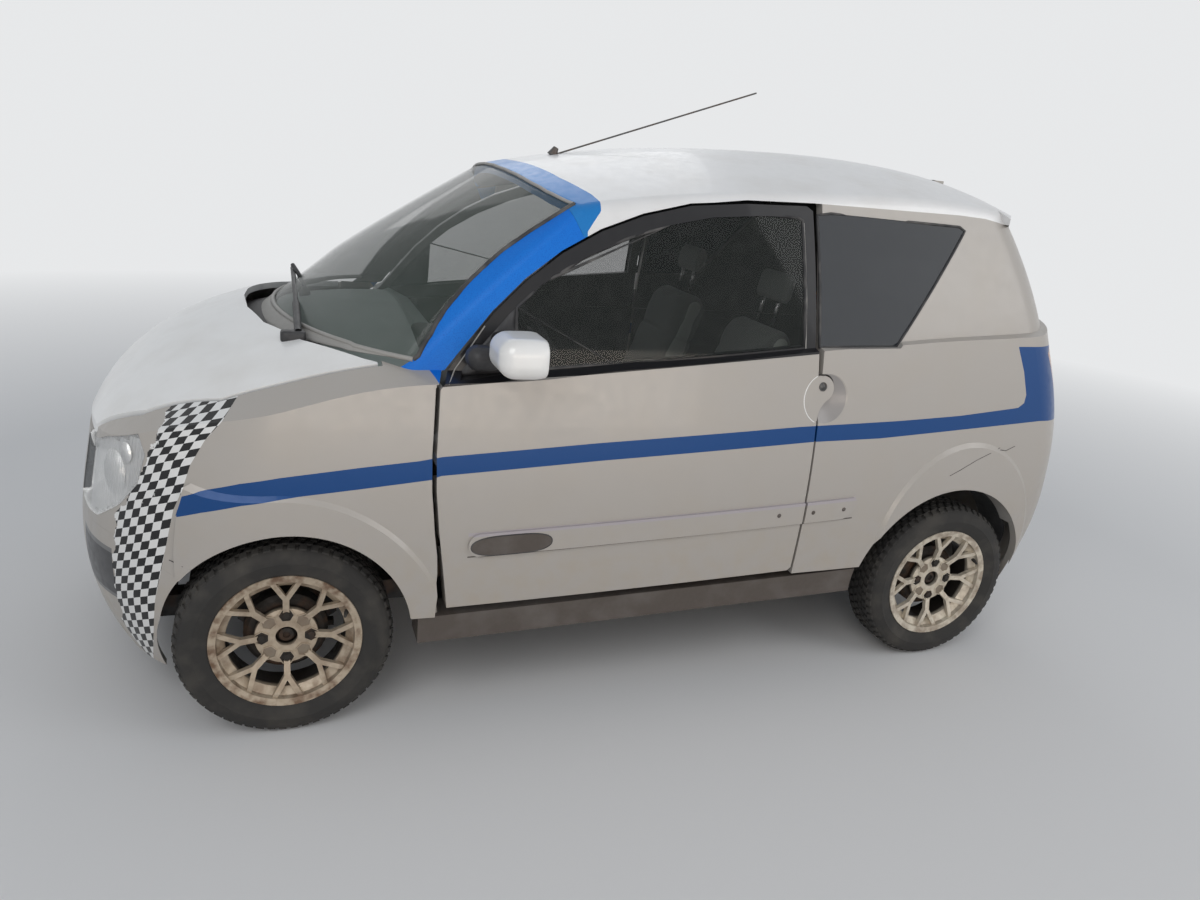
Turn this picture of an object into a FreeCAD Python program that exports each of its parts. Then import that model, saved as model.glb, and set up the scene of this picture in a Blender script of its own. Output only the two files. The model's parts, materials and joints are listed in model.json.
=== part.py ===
import FreeCAD, Part
import Sketcher
import math
import os
import re
from collections import namedtuple

# A two-seat microcar.
# Millimetres. +X points to the rear, +Y to the right side of the car, +Z up.
# The origin lies on the ground under the middle of the car.

V = FreeCAD.Vector
doc = FreeCAD.newDocument("microcar")

# Every size that can be set by itself, with its name.
SIZES = (
    ("wheel_base", 1950), ("front_axle_x", -950), ("track_half", 627),
    ("tyre_radius", 256), ("tyre_width", 142), ("tyre_wall", 11), ("tyre_sides", 52),
    ("rim_lip_radius", 178), ("bead_radius", 165), ("rim_width", 126), ("rim_wall", 7),
    ("hub_face", 30), ("hub_back", 8), ("hub_radius", 74), ("hub_bore", 26),
    ("bolt_circle", 115), ("bolt_recess", 11), ("spoke_count", 8), ("spoke_width", 15),
    ("arm_width", 12), ("spoke_fork", 104), ("spoke_depth", 15),
    ("arm_angle", 30.2), ("rim_drop", 18), ("drum_radius", 100), ("drum_wall", 8), ("drum_depth", 42),
    ("spindle_radius", 15), ("run_clear", 0.08), ("seat_gap", 0.3),
    ("kingpin_y", 530), ("kingpin_radius", 11), ("ball_height", 84),
    ("plate_radius", 92), ("plate_wall", 4), ("arm_plate_wall", 21.7), ("strut_top_z", 640), ("trail_length", 330),
    ("beam_half", 520),
    ("panel_wall", 55), ("wing_wall", 18), ("house_wall", 30), ("glass_wall", 5),
    ("glass_drop", 2), ("shut_gap", 6), ("bonnet_gap", 10), ("joint_gap", 0.5),
    ("front_arch_radius", 290), ("front_arch_z", 262), ("front_arch_shift", 5),
    ("rear_arch_radius", 321), ("rear_arch_z", 265), ("rear_arch_shift", -25),
    ("liner_wall", 5), ("front_liner_gap", 28), ("rear_liner_gap", 6),
    ("floor_z", 236), ("floor_wall", 18), ("boot_floor_z", 560), ("boot_wall_x", 640),
    ("frame_end", 1290), ("member_two_x", -700), ("member_three_x", -100), ("member_four_x", 560),
    ("rail_y", 330), ("rail_width", 60), ("rail_height", 60), ("rail_z", 176),
    ("engine_x", -1230), ("engine_z", 240), ("silencer_radius", 75), ("pipe_radius", 18), ("pipe_y", 245),
    ("pipe_end_x", 1448), ("floor_half", 620), ("boot_half", 520), ("boot_floor_end", 1400), ("dash_half", 600),
    ("sill_y", 667), ("sill_width", 90), ("sill_front_x", -640), ("sill_rear_x", 655), ("sill_bottom", 233), ("sill_rise", 0.031), ("sill_height", 71),
    ("door_front_x", -610), ("door_rear_x", 420), ("door_bottom_z", 345),
    ("bulkhead_x", -598), ("bulkhead_wall", 16),
    ("bonnet_half", 600), ("bonnet_lip_z", 696), ("bonnet_slot_z", 664), ("bonnet_rear_x", -735),
    ("door_hinge_x", -578), ("door_hinge_y", 712), ("door_hinge_low", 500), ("door_hinge_high", 690),
    ("hinge_pin", 4), ("hinge_clear", 0.08), ("hinge_depth", 17), ("sweep_clear", 5), ("wing_gap", 11),
    ("bonnet_hinge_x", -1380), ("bonnet_hinge_z", 700), ("bonnet_nose_gap", 8),
    ("tail_hinge_x", 1153), ("tail_hinge_z", 1457), ("tail_eye", 6), ("tail_hinge_y", 90),
    ("steer_clear", 6), ("tyre_shoulder", 22),
    ("flare_out", 8), ("flare_slope", 1.5), ("strip_out", 7), ("strip_height", 63), ("strip_rise", 0.042), ("strip_low", 495),
    ("strip_front_x", -526), ("strip_rear_x", 594),
    ("handle_x", 446), ("handle_z", 870), ("handle_radius", 70), ("handle_depth", 18), ("flap_wall", 9),
    ("flap_gap", 5), ("glass_rebate", 8), ("quarter_glass_x", 425),
    ("bumper_top", 500), ("rear_bumper_top", 590),
    ("tailgate_x", 1156), ("tailgate_half", 505), ("tailgate_top_half", 445),
    ("grip_radius", 166), ("steer_tube", 14), ("steer_x", -262), ("steer_z", 925),
    ("steer_tilt", 33), ("driver_y", 300),
    ("seat_width", 440), ("seat_base_z", 395), ("cushion_height", 130),
    ("mirror_out", 868), ("mirror_z", 1000), ("sail_end_x", -415),
    ("aerial_length", 700), ("aerial_radius", 2.5),
)
sheet = doc.addObject("Spreadsheet::Sheet", "sizes")
for row, (name, value) in enumerate(SIZES, 1):
    sheet.set("A%d" % row, name)
    sheet.set("B%d" % row, str(value))
    sheet.setAlias("B%d" % row, name)
doc.recompute()


def size(name):
    return float(sheet.get(name))


WHEELBASE = size("wheel_base")
FRONT_X = size("front_axle_x")
REAR_X = FRONT_X + WHEELBASE
HUB_Z = size("tyre_radius")
GAP = size("seat_gap")
SHUT = size("shut_gap")
NODES = []


def add(label, shape):
    piece = doc.addObject("Part::Feature", label)
    piece.Label = label
    piece.Shape = shape
    NODES.append(piece)
    return piece


def mirrored(shape):
    return shape.mirror(V(0, 0, 0), V(0, 1, 0))


def polygon(points):
    """A closed face from points in one plane."""
    return Part.Face(Part.makePolygon(list(points) + [points[0]]))


def side_prism(outline, y_from, y_to):
    """A side-view outline of (x, z), extruded along Y."""
    return polygon([V(x, y_from, z) for x, z in outline]).extrude(V(0, y_to - y_from, 0))


def plan_prism(outline, z_from, z_to):
    """A plan-view outline of (x, y), extruded along Z."""
    return polygon([V(x, y, z_from) for x, y in outline]).extrude(V(0, 0, z_to - z_from))


def rear_prism(outline, x_from, x_to):
    """A rear-view outline of (y, z), extruded along X."""
    return polygon([V(x_from, y, z) for y, z in outline]).extrude(V(x_to - x_from, 0, 0))


def box(x0, x1, y0, y1, z0, z1):
    return Part.makeBox(x1 - x0, y1 - y0, z1 - z0, V(x0, y0, z0))


def rod(start, end, radius):
    start = V(*start)
    end = V(*end)
    return Part.makeCylinder(radius, (end - start).Length, start, end - start)


# Document objects whose sizes follow expressions


def tied(text):
    """An expression in which each word with an underscore is a size read from the sheet."""
    return re.sub(r"[a-z]+(_[a-z]+)+", lambda found: "sizes." + found.group(), str(text))


def place(piece, x=0, y=0, z=0):
    for axis, text in zip("xyz", (x, y, z)):
        piece.setExpression(".Placement.Base." + axis, tied(text))
    return piece


def block(name, x, y, z):
    """A box; x, y and z are each a pair of expressions, from the low end to the high end."""
    piece = doc.addObject("Part::Box", name)
    for prop, (low, high) in zip(("Length", "Width", "Height"), (x, y, z)):
        piece.setExpression(prop, tied("(%s) - (%s)" % (high, low)))
    return place(piece, x[0], y[0], z[0])


def bar(name, along, radius, length, start):
    """A round bar along a direction, from a start point of three expressions."""
    piece = doc.addObject("Part::Cylinder", name)
    piece.setExpression("Radius", tied(radius))
    piece.setExpression("Height", tied(length))
    piece.Placement = FreeCAD.Placement(V(), FreeCAD.Rotation(V(0, 0, 1), along))
    return place(piece, *start)


def joined(name, pieces):
    piece = doc.addObject("Part::MultiFuse", name)
    piece.Shapes = pieces
    piece.Refine = True
    return piece


def carved(name, base, tool):
    piece = doc.addObject("Part::Cut", name)
    piece.Base = base
    piece.Tool = tool
    return piece


def across(name, source):
    """The same piece on the other side of the car."""
    piece = doc.addObject("Part::Mirroring", name)
    piece.Source = source
    piece.Normal = V(0, 1, 0)
    return piece


def together(name, pieces):
    piece = doc.addObject("Part::Compound", name)
    piece.Links = pieces
    return piece


def node(piece):
    """Keeps a finished sub-part, whose label names its file."""
    piece.Label = piece.Name
    NODES.append(piece)
    return piece


def new_body(name):
    return doc.addObject("PartDesign::Body", name)


def outline(body, name, role, loops, lift=0):
    """A sketch of closed loops on an origin plane, lifted along its normal.

    A loop is a list of corners, each a pair of expressions, or one circle as (x, y, radius).
    """
    flat = body.newObject("Sketcher::SketchObject", name)
    flat.AttachmentSupport = (next(f for f in body.Origin.OriginFeatures if f.Role == role), [""])
    flat.MapMode = "FlatFace"
    flat.setExpression(".AttachmentOffset.Base.z", tied(lift))

    def lock(kind, edge, point, texts):
        for axis, text in zip("XY", texts):
            index = flat.addConstraint(Sketcher.Constraint(kind + axis, -1, 1, edge, point, 1.0))
            flat.setExpression("Constraints[%d]" % index, tied(text))
    for loop in loops:
        first = flat.GeometryCount
        if isinstance(loop, tuple):
            flat.addGeometry(Part.Circle(V(1, 1, 0), V(0, 0, 1), 5), False)
            index = flat.addConstraint(Sketcher.Constraint("Radius", first, 5.0))
            flat.setExpression("Constraints[%d]" % index, tied(loop[2]))
            lock("Distance", first, 3, loop[:2])
            continue
        count = len(loop)
        start = [V(math.cos(2 * math.pi * i / count), math.sin(2 * math.pi * i / count), 0) for i in range(count)]
        for i in range(count):
            flat.addGeometry(Part.LineSegment(start[i], start[(i + 1) % count]), False)
        for i, corner in enumerate(loop):
            before = first + (i - 1) % count
            flat.addConstraint(Sketcher.Constraint("Coincident", first + i, 1, before, 2))
            lock("Distance", first + i, 1, corner)
    return flat


def turned(body, name, loops, role="XY_Plane", kind="PartDesign::Revolution"):
    """Loops of (radius, height), turned round their sketch's vertical axis."""
    flat = outline(body, name + "_section", role, loops)
    feature = body.newObject(kind, name)
    feature.Profile = (flat, [""])
    feature.ReferenceAxis = (flat, ["V_Axis"])
    feature.Angle = 360
    doc.recompute()
    return feature


def pad(body, name, flat, length):
    """Extrudes a sketch by half its length to each side."""
    feature = body.newObject("PartDesign::Pad", name)
    feature.Profile = (flat, [""])
    feature.Midplane = True
    feature.setExpression("Length", tied(length))
    doc.recompute()
    return feature


def pocket(body, name, flat, outwards=False):
    """Cuts a sketch right through, to both sides or only along its normal."""
    feature = body.newObject("PartDesign::Pocket", name)
    feature.Profile = (flat, [""])
    feature.Type = "ThroughAll"
    feature.Midplane = not outwards
    feature.Reversed = outwards
    doc.recompute()
    return feature


def patterned(body, name, feature, flat, count):
    """Copies of a feature spaced evenly round the normal of a sketch's plane at its origin."""
    series = body.newObject("PartDesign::PolarPattern", name)
    series.Originals = [feature]
    series.Axis = (flat, ["N_Axis"])
    series.Angle = 360
    series.setExpression("Occurrences", tied(count))
    body.Tip = series
    doc.recompute()
    return series


# Body surfaces

# One plan outline: a nose arc, a tail arc and two bowed sides, joined by corner arcs.
Outline = namedtuple("Outline", "z nose nose_bow tail tail_bow half side_bow corner_front corner_rear")
LOWER = [Outline(*row) for row in (
    (150, -1392, 1300, 1368, 3300, 700, 22000, 400, 150),
    (300, -1450, 1400, 1420, 3300, 718, 22000, 420, 150),
    (450, -1458, 1500, 1455, 3500, 732, 22000, 430, 150),
    (600, -1436, 1500, 1459, 3500, 737, 22000, 430, 150),
    (750, -1408, 1500, 1448, 3500, 730, 22000, 430, 150),
    (900, -1372, 1500, 1412, 3500, 712, 22000, 420, 150),
    (1080, -1330, 1500, 1348, 3500, 684, 22000, 400, 150))]
UPPER = [Outline(*row) for row in (
    (860, -1084, 740, 1420, 3000, 694, 11000, 60, 150),
    (1120, -771, 790, 1330, 3000, 646, 11000, 60, 150),
    (1340, -428, 880, 1207, 3000, 578, 11000, 60, 150),
    (1540, -106, 1000, 1060, 3000, 500, 11000, 60, 150))]
UPPER_MIDDLE_X = 350.0

# One cross-section of a crowned top: its height in the middle and 600 mm out.
Crown = namedtuple("Crown", "x top shoulder")
CROWN_AT = 600.0
DECK = [Crown(*row) for row in (
    (-1480, 470, 290), (-1440, 640, 465), (-1400, 728, 560), (-1340, 806, 655),
    (-1260, 872, 738), (-1150, 932, 815), (-1000, 984, 870), (-850, 1012, 908),
    (-700, 1021, 932), (-500, 1020, 941), (-250, 1033, 960), (0, 1055, 983),
    (250, 1077, 1006), (500, 1097, 1027), (750, 1112, 1042), (1000, 1123, 1053),
    (1250, 1132, 1062), (1500, 1140, 1070))]
ROOF = [Crown(*row) for row in (
    (-800, 1235, 1148), (-500, 1338, 1243), (-200, 1421, 1316), (100, 1468, 1355),
    (400, 1491, 1375), (700, 1499, 1384), (950, 1488, 1376), (1100, 1465, 1356),
    (1200, 1432, 1325), (1290, 1380, 1275))]
# The lower face of the lip over the tailgate.
LIP = [Crown(*row) for row in (
    (1070, 1404, 1297), (1156, 1398, 1292), (1262, 1384, 1279))]


def on_circle(centre, radius, point):
    """The point of a circle that faces a given point."""
    dx = point[0] - centre[0]
    dy = point[1] - centre[1]
    span = math.hypot(dx, dy)
    return (centre[0] + dx * radius / span, centre[1] + dy * radius / span)


def halfway(centre, radius, first, second):
    return on_circle(centre, radius, ((first[0] + second[0]) / 2, (first[1] + second[1]) / 2))


def inner_tangent(centre_a, radius_a, centre_b, radius_b, radius, pick_front):
    """Centre of a circle that touches two larger ones from inside, on the left side."""
    reach_a = radius_a - radius
    reach_b = radius_b - radius
    dx = centre_b[0] - centre_a[0]
    dy = centre_b[1] - centre_a[1]
    span = math.hypot(dx, dy)
    along = (reach_a ** 2 - reach_b ** 2 + span ** 2) / (2 * span)
    off = math.sqrt(reach_a ** 2 - along ** 2)
    base = (centre_a[0] + along * dx / span, centre_a[1] + along * dy / span)
    both = [(base[0] - off * dy / span * s, base[1] + off * dx / span * s) for s in (1, -1)]
    left = [c for c in both if c[1] < 0]
    return min(left) if pick_front else max(left)


def plan_wire(o, middle_x, inset):
    nose_bow = o.nose_bow - inset
    tail_bow = o.tail_bow - inset
    side_bow = o.side_bow - inset
    front = max(o.corner_front - inset, 8)
    rear = max(o.corner_rear - inset, 8)
    nose_c = (o.nose + inset + nose_bow, 0.0)
    tail_c = (o.tail - inset - tail_bow, 0.0)
    side_c = (middle_x, side_bow - o.half + inset)
    front_c = inner_tangent(nose_c, nose_bow, side_c, side_bow, front, True)
    rear_c = inner_tangent(tail_c, tail_bow, side_c, side_bow, rear, False)
    f1 = on_circle(nose_c, nose_bow, front_c)
    f2 = on_circle(side_c, side_bow, front_c)
    r1 = on_circle(tail_c, tail_bow, rear_c)
    r2 = on_circle(side_c, side_bow, rear_c)
    fm = halfway(front_c, front, f1, f2)
    rm = halfway(rear_c, rear, r1, r2)
    sm = halfway(side_c, side_bow, f2, r2)
    nose = (o.nose + inset, 0.0)
    tail = (o.tail - inset, 0.0)

    def right(p):
        return (p[0], -p[1])
    arcs = ((right(f1), nose, f1), (f1, fm, f2), (f2, sm, r2), (r2, rm, r1),
            (r1, tail, right(r1)), (right(r1), right(rm), right(r2)),
            (right(r2), right(sm), right(f2)), (right(f2), right(fm), right(f1)))
    return Part.Wire([Part.Arc(*[V(p[0], p[1], o.z) for p in arc]).toShape() for arc in arcs])


def crown_wire(c, inset, half, bottom):
    top = c.top - inset
    drop = c.top - c.shoulder
    bow = (CROWN_AT ** 2 + drop ** 2) / (2 * drop)
    edge = top - bow + math.sqrt(bow ** 2 - half ** 2)
    arc = Part.Arc(V(c.x, -half, edge), V(c.x, 0, top), V(c.x, half, edge)).toShape()
    corners = [V(c.x, half, edge), V(c.x, half, bottom), V(c.x, -half, bottom), V(c.x, -half, edge)]
    return Part.Wire([arc] + [Part.makeLine(a, b) for a, b in zip(corners, corners[1:])])


def lower_body(inset):
    plan = Part.makeLoft([plan_wire(o, 0.0, inset) for o in LOWER], True, False)
    deck = Part.makeLoft([crown_wire(c, inset, 760.0, -200.0) for c in DECK], True, False)
    return plan.common(deck)


def upper_body(inset):
    plan = Part.makeLoft([plan_wire(o, UPPER_MIDDLE_X, inset) for o in UPPER], True, False)
    deck = Part.makeLoft([crown_wire(c, inset, 760.0, 600.0) for c in ROOF], True, False)
    house = plan.common(deck)
    if inset == 0 or inset > 20:
        rails = [e for e in house.Edges if e.BoundBox.ZMin > 1180
                 and e.BoundBox.XMax - e.BoundBox.XMin > 800 and abs(e.BoundBox.YMin + e.BoundBox.YMax) > 600]
        house = house.makeFillet(45.0 - min(inset, 30), rails)
    return house


tub_out = lower_body(0)
tub_in = lower_body(size("panel_wall"))
tub_thin = lower_body(size("wing_wall"))
house_out = upper_body(0)
house_in = upper_body(size("house_wall"))
left_half = box(-1600, 1600, -1000, -0.0, -100, 1700)

# The thick cabin shell and the thin shell of the nose.
cabin_shell = tub_out.fuse(house_out).cut(tub_in.fuse(house_in))
nose_shell = tub_out.cut(tub_thin).cut(house_out)


def wheel_cut(x, z, radius, y_from, y_to):
    return rod((x, y_from, z), (x, y_to, z), radius)


front_arch_x = FRONT_X + size("front_arch_shift")
rear_arch_x = REAR_X + size("rear_arch_shift")
front_arch = wheel_cut(front_arch_x, size("front_arch_z"), size("front_arch_radius"), -900, -380)
rear_arch = wheel_cut(rear_arch_x, size("rear_arch_z"), size("rear_arch_radius"), -900, -400)

# Side-view outlines of the left side, as (x, z).
dfx = size("door_front_x")
drx = size("door_rear_x")
dbz = size("door_bottom_z")
belt_front = 893.0
belt_rear = 992.0
DOOR = [(dfx + 40, dbz - 17), (dfx + 27, dbz + 85), (dfx + 12, dbz + 195), (dfx + 2, dbz + 305), (dfx, dbz + 395),
        (dfx + 6, belt_front),
        (-540, 975), (-470, 1062), (-390, 1141), (-300, 1209), (-200, 1265), (-90, 1308), (40, 1341),
        (200, 1357), (380, 1363), (398, 1352), (drx - 12, 1100), (drx - 8, belt_rear), (drx + 2, 800),
        (drx, dbz + 26), (drx - 10, dbz + 16)]
DOOR_WINDOW = [(-556, 912), (-500, 985), (-430, 1065), (-350, 1135), (-250, 1198), (-140, 1250),
               (-20, 1291), (100, 1317), (240, 1330), (350, 1333), (366, 1326), (376, 1100), (378, 1004)]
QUARTER_WINDOW = [(440, 1004), (440, 1342), (455, 1350), (900, 1341), (921, 1330), (682, 1008)]
qgx = size("quarter_glass_x")
QUARTER_GLASS = [(qgx, 1003)] + [(qgx - 14, 1343)] + QUARTER_WINDOW[2:]


def grown(outline, amount):
    """An outline set outwards by an amount, with its corners kept."""
    face = polygon([V(x, 0, z) for x, z in outline])
    wire = face.OuterWire.makeOffset2D(amount, 2)
    return Part.Face(wire)


def grown_prism(outline, amount, y_from, y_to):
    face = grown(outline, amount)
    face.translate(V(0, y_from, 0))
    return face.extrude(V(0, y_to - y_from, 0))


door_zone = side_prism(DOOR, -900, -330)
door_opening = grown_prism(DOOR, SHUT, -900, -330)
door_glass_zone = side_prism(DOOR_WINDOW, -900, -330)
sail_end = size("sail_end_x")
door_glass_inner = grown_prism(DOOR_WINDOW, -size("joint_gap"), -900, -330).common(
    box(sail_end + GAP, 500, -900, -330, 800, 1500))
quarter_glass_zone = side_prism(QUARTER_WINDOW, -900, -330)
quarter_rebate = side_prism(QUARTER_GLASS, -900, -330).cut(upper_body(size("glass_rebate")))
quarter_glass_inner = grown_prism(QUARTER_GLASS, -size("joint_gap"), -900, -330)

glass_shell = upper_body(size("glass_drop")).cut(upper_body(size("glass_drop") + size("glass_wall")))


tub_root = lower_body(size("wing_wall") - 2)


def raised(outline, height):
    """What stands proud of the lower body inside a left side-view solid, with its root in the shell."""
    return lower_body(-height).common(outline).cut(tub_root)


# The rub strip along the door and the quarter rises to the rear and has round ends.
strip_rise = size("strip_rise")
strip_height = size("strip_height")
sfx = size("strip_front_x")
srx = size("strip_rear_x")


def strip_z(x):
    return size("strip_low") + strip_rise * x


def strip_outline():
    low = V(sfx + strip_height / 2, -900, strip_z(sfx))
    high = V(low.x, -900, low.z + strip_height)
    nose = V(sfx, -900, low.z + strip_height / 2)
    top = V(srx - 12, -900, strip_z(srx) + strip_height)
    corner = V(srx - 3, -900, top.z - 4)
    edge = V(srx, -900, top.z - 14)
    under = V(srx - 18, -900, strip_z(srx) + 10)
    foot = V(srx - 46, -900, strip_z(srx) - 1)
    wire = Part.Wire([Part.Arc(low, nose, high).toShape(), Part.makeLine(high, top),
                      Part.Arc(top, corner, edge).toShape(), Part.Arc(edge, under, foot).toShape(),
                      Part.makeLine(foot, low)])
    return Part.Face(wire).extrude(V(0, 500, 0))


strip = raised(strip_outline(), size("strip_out"))

# The handle: a dish in the quarter panel, and the door's flap that reaches over it.
hdx = size("handle_x")
hdz = size("handle_z")
dish_radius = size("handle_radius")
dish_depth = size("handle_depth")


def flap_face():
    at = [V(hdx + x, -900, hdz + z) for x, z in (
        (-45, 62), (-10, 62), (23, 30), (6, -3), (-14, -25), (-22, -60), (-45, -60))]
    return Part.Face(Part.Wire([
        Part.makeLine(at[0], at[1]), Part.Arc(at[1], at[2], at[3]).toShape(),
        Part.Arc(at[3], at[4], at[5]).toShape(), Part.makeLine(at[5], at[6]), Part.makeLine(at[6], at[0])]))


flap_skin = lower_body(1)
flap = flap_skin.cut(lower_body(size("flap_wall"))).common(flap_face().extrude(V(0, 500, 0)))
flap_room_face = Part.Face(flap_face().OuterWire.makeOffset2D(size("flap_gap")))
flap_room = flap_room_face.extrude(V(0, 500, 0)).cut(lower_body(size("flap_wall") + size("handle_depth")))
skin_y = Part.makeLine(V(hdx, -900, hdz), V(hdx, 0, hdz)).common(tub_out).BoundBox.YMin
sphere_radius = (dish_radius ** 2 + dish_depth ** 2) / (2 * dish_depth)
dish_normal = V(0.03, -0.99, 0.14)
dish_normal.normalize()
dish = Part.makeSphere(sphere_radius, V(hdx, skin_y, hdz) + dish_normal * (sphere_radius - dish_depth))

# The wheel-arch flares stand proud of the skin inside a cone whose edge slopes.


def flare(x, z, radius):
    slope = size("flare_slope")
    cone = Part.makeCone(radius - 45 * slope, radius + 55 * slope, 100, V(x, -770, z), V(0, 1, 0))
    return raised(cone, size("flare_out"))


front_flare = flare(front_arch_x, size("front_arch_z") + 10, size("front_arch_radius") + 72)
rear_flare = flare(rear_arch_x, size("rear_arch_z") + 174, size("rear_arch_radius") - 51)

# Doors

door = cabin_shell.common(door_zone).cut(door_glass_zone).fuse([strip.common(door_zone), flap])
hx = size("door_hinge_x")
hy = -size("door_hinge_y")
pin = size("hinge_pin")
hinge_heights = (size("door_hinge_low"), size("door_hinge_high"))
hinge_arms = []
for z in hinge_heights:
    door = door.cut(box(hx - 50, hx + 18, hy - 10, hy + 72, z - 20, z + 20))
    door = door.cut(rod((hx, hy, z - 30), (hx, hy, z + 30), pin + size("hinge_clear")))
    hinge_arms.append(box(hx - 6, hx + 6, hy, -645, z - 12, z + 12).fuse(rod((hx, hy, z - 12), (hx, hy, z + 12), 6)))
    hinge_arms.append(rod((hx, hy, z - 28), (hx, hy, z + 28), pin))
add("door_left", door)
add("door_right", mirrored(door))
door_glass = glass_shell.common(door_glass_inner)
add("door_glass_left", door_glass)
add("door_glass_right", mirrored(door_glass))

# Roof, pillars, quarters

# The seam between the roof and the pillar, from the header down to the door.
SEAM = [(-420, 1345), (-296, 1330), (-278, 1308), (-247, 1250), (-200, 1238)]
roof_line = [(-420, 1600)] + SEAM + [(-90, 1298), (40, 1345), (200, 1366), (400, 1372), (900, 1372), (1000, 1368),
                                     (1150, 1345), (1300, 1322), (1300, 1600)]
header_half = 530.0
roof_zone = side_prism(roof_line, -900, 900).fuse(box(-420, -190, -header_half, header_half, 1200, 1700))


def windscreen_outline():
    """Front-view outline of the windscreen, as (y, z) on the left side from the base."""
    return [(0, 700), (-560, 700), (-629, 952), (-614, 1003), (-592, 1059), (-568, 1129), (-550, 1197),
            (-545, 1250), (-545, 1600), (0, 1600)]


screen_left = windscreen_outline()
screen_all = screen_left + [(-y, z) for y, z in reversed(screen_left) if y]
header_edge = [(-1300, -900), (-252, -900), (-254, -548), (-268, -531), (-299, -450), (-323, -343), (-340, -200),
               (-347, -106)]
header_edge = header_edge + [(x, -y) for x, y in reversed(header_edge)]
header_zone = plan_prism(header_edge, 600, 1700)
screen_zone = rear_prism(screen_all, -1300, -150).common(header_zone)
screen_inner_face = polygon([V(0, y, z) for y, z in screen_all]).OuterWire.makeOffset2D(-size("joint_gap"), 2)
screen_inner = Part.Face(screen_inner_face)
screen_inner.translate(V(-1300, 0, 0))
screen_inner = screen_inner.extrude(V(1150, 0, 0))
screen_inner = screen_inner.common(header_zone.translated(V(-size("joint_gap"), 0, 0)))
above_cowl = box(-1400, -100, -900, 900, 930, 1700)
windscreen = glass_shell.common(screen_inner).common(above_cowl)
add("windscreen", windscreen)

house_shell = house_out.cut(house_in).cut(tub_out)
lip_plan = [(1080, -562), (1090, -550), (1138, -500), (1233, -400), (1248, -200), (1255, 0)]
lip_plan = lip_plan + [(x, -y) for x, y in reversed(lip_plan) if y]
roof_block = Part.makeLoft([crown_wire(c, 0, 760.0, 600.0) for c in ROOF], True, False)
lip_floor = Part.makeLoft([crown_wire(c, 0, 760.0, 600.0) for c in LIP], True, False)
lip = roof_block.common(plan_prism(lip_plan, 1200, 1700)).cut(lip_floor).cut(house_in)
front_part = house_shell.fuse(lip).cut(screen_zone).cut(door_opening).cut(mirrored(door_opening))
glass_cuts = quarter_glass_zone.fuse(quarter_rebate)
roof = front_part.cut(glass_cuts).cut(mirrored(glass_cuts)).common(roof_zone)
tgx = size("tailgate_x")
tgh = size("tailgate_half")
tgt = size("tailgate_top_half")


def tailgate_outline(grow):
    """Rear-view outline as (y, z)."""
    low = size("rear_bumper_top")
    half = [(tgh - 40 + grow, low - grow), (tgh + grow, low + 60), (tgh + grow, 960), (tgt + grow, 1260),
            (tgt - 10 + grow, 1700)]
    return half + [(-y, z) for y, z in reversed(half)]


tailgate_zone = rear_prism(tailgate_outline(0), tgx, 1700)
tailgate_opening = rear_prism(tailgate_outline(SHUT), tgx - SHUT, 1700)

# The tailgate hinges stand on the roof's rear seam.
tail_x = size("tail_hinge_x")
tail_y = size("tail_hinge_y")
tail_z = size("tail_hinge_z")


def tail_lug(y_from, y_to, foot_from, foot_to):
    half = size("tail_eye")
    eye = rod((tail_x, y_from, tail_z), (tail_x, y_to, tail_z), half)
    arm = box(min(foot_from, tail_x), max(foot_to, tail_x), y_from, y_to, tail_z - half + 1, tail_z + half - 1)
    return eye.fuse([arm, box(foot_from, foot_to, y_from, y_to, tail_z - 42, tail_z + half - 1)])


roof_lug = tail_lug(-tail_y - 6, -tail_y + 6, tail_x - 41, tail_x - 8).cut(
    rod((tail_x, -tail_y - 9, tail_z), (tail_x, -tail_y + 9, tail_z), pin + size("hinge_clear")))
roof = roof.cut(tailgate_opening).fuse([roof_lug.cut(house_in), mirrored(roof_lug).cut(house_in)])
add("roof", roof)
seam_below = [(x - GAP, z - GAP) for x, z in reversed(SEAM)]
pillar_zone = side_prism([(-1200, 700), (-560, 700), (-560, 960)] + seam_below
                         + [(SEAM[0][0] - GAP, 1700), (-1200, 1700)], -900, -header_half - GAP)
pillar = front_part.common(pillar_zone)
add("pillar_left", pillar)
add("pillar_right", mirrored(pillar))


# Tailgate, with its glass and the lip over it

rear_window = [(405, 1015), (375, 1240), (350, 1262)]
rear_window = rear_window + [(-y, z) for y, z in reversed(rear_window)]
rear_window_zone = rear_prism(rear_window, 1170, 1700)
rear_window_face = Part.Face(polygon([V(1170, y, z) for y, z in rear_window]).OuterWire.makeOffset2D(
    -size("joint_gap"), 2))
rear_window_inner = rear_window_face.extrude(V(500, 0, 0))
tailgate = cabin_shell.fuse(lip).common(tailgate_zone).cut(rear_window_zone)
lid_lugs = []
for y in (-tail_y - 22, -tail_y + 10):
    lid_lugs.append(tail_lug(y, y + 12, tgx + 6, tgx + 32))
lid_lugs.append(rod((tail_x, -tail_y - 22, tail_z), (tail_x, -tail_y + 22, tail_z), pin))
lid_hinge = lid_lugs[0].fuse(lid_lugs[1:]).cut(house_in)
tailgate = tailgate.fuse([lid_hinge, mirrored(lid_hinge)])
add("tailgate", tailgate)
add("tailgate_glass", glass_shell.common(rear_window_inner))

# Quarter panels with their lamps

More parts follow.
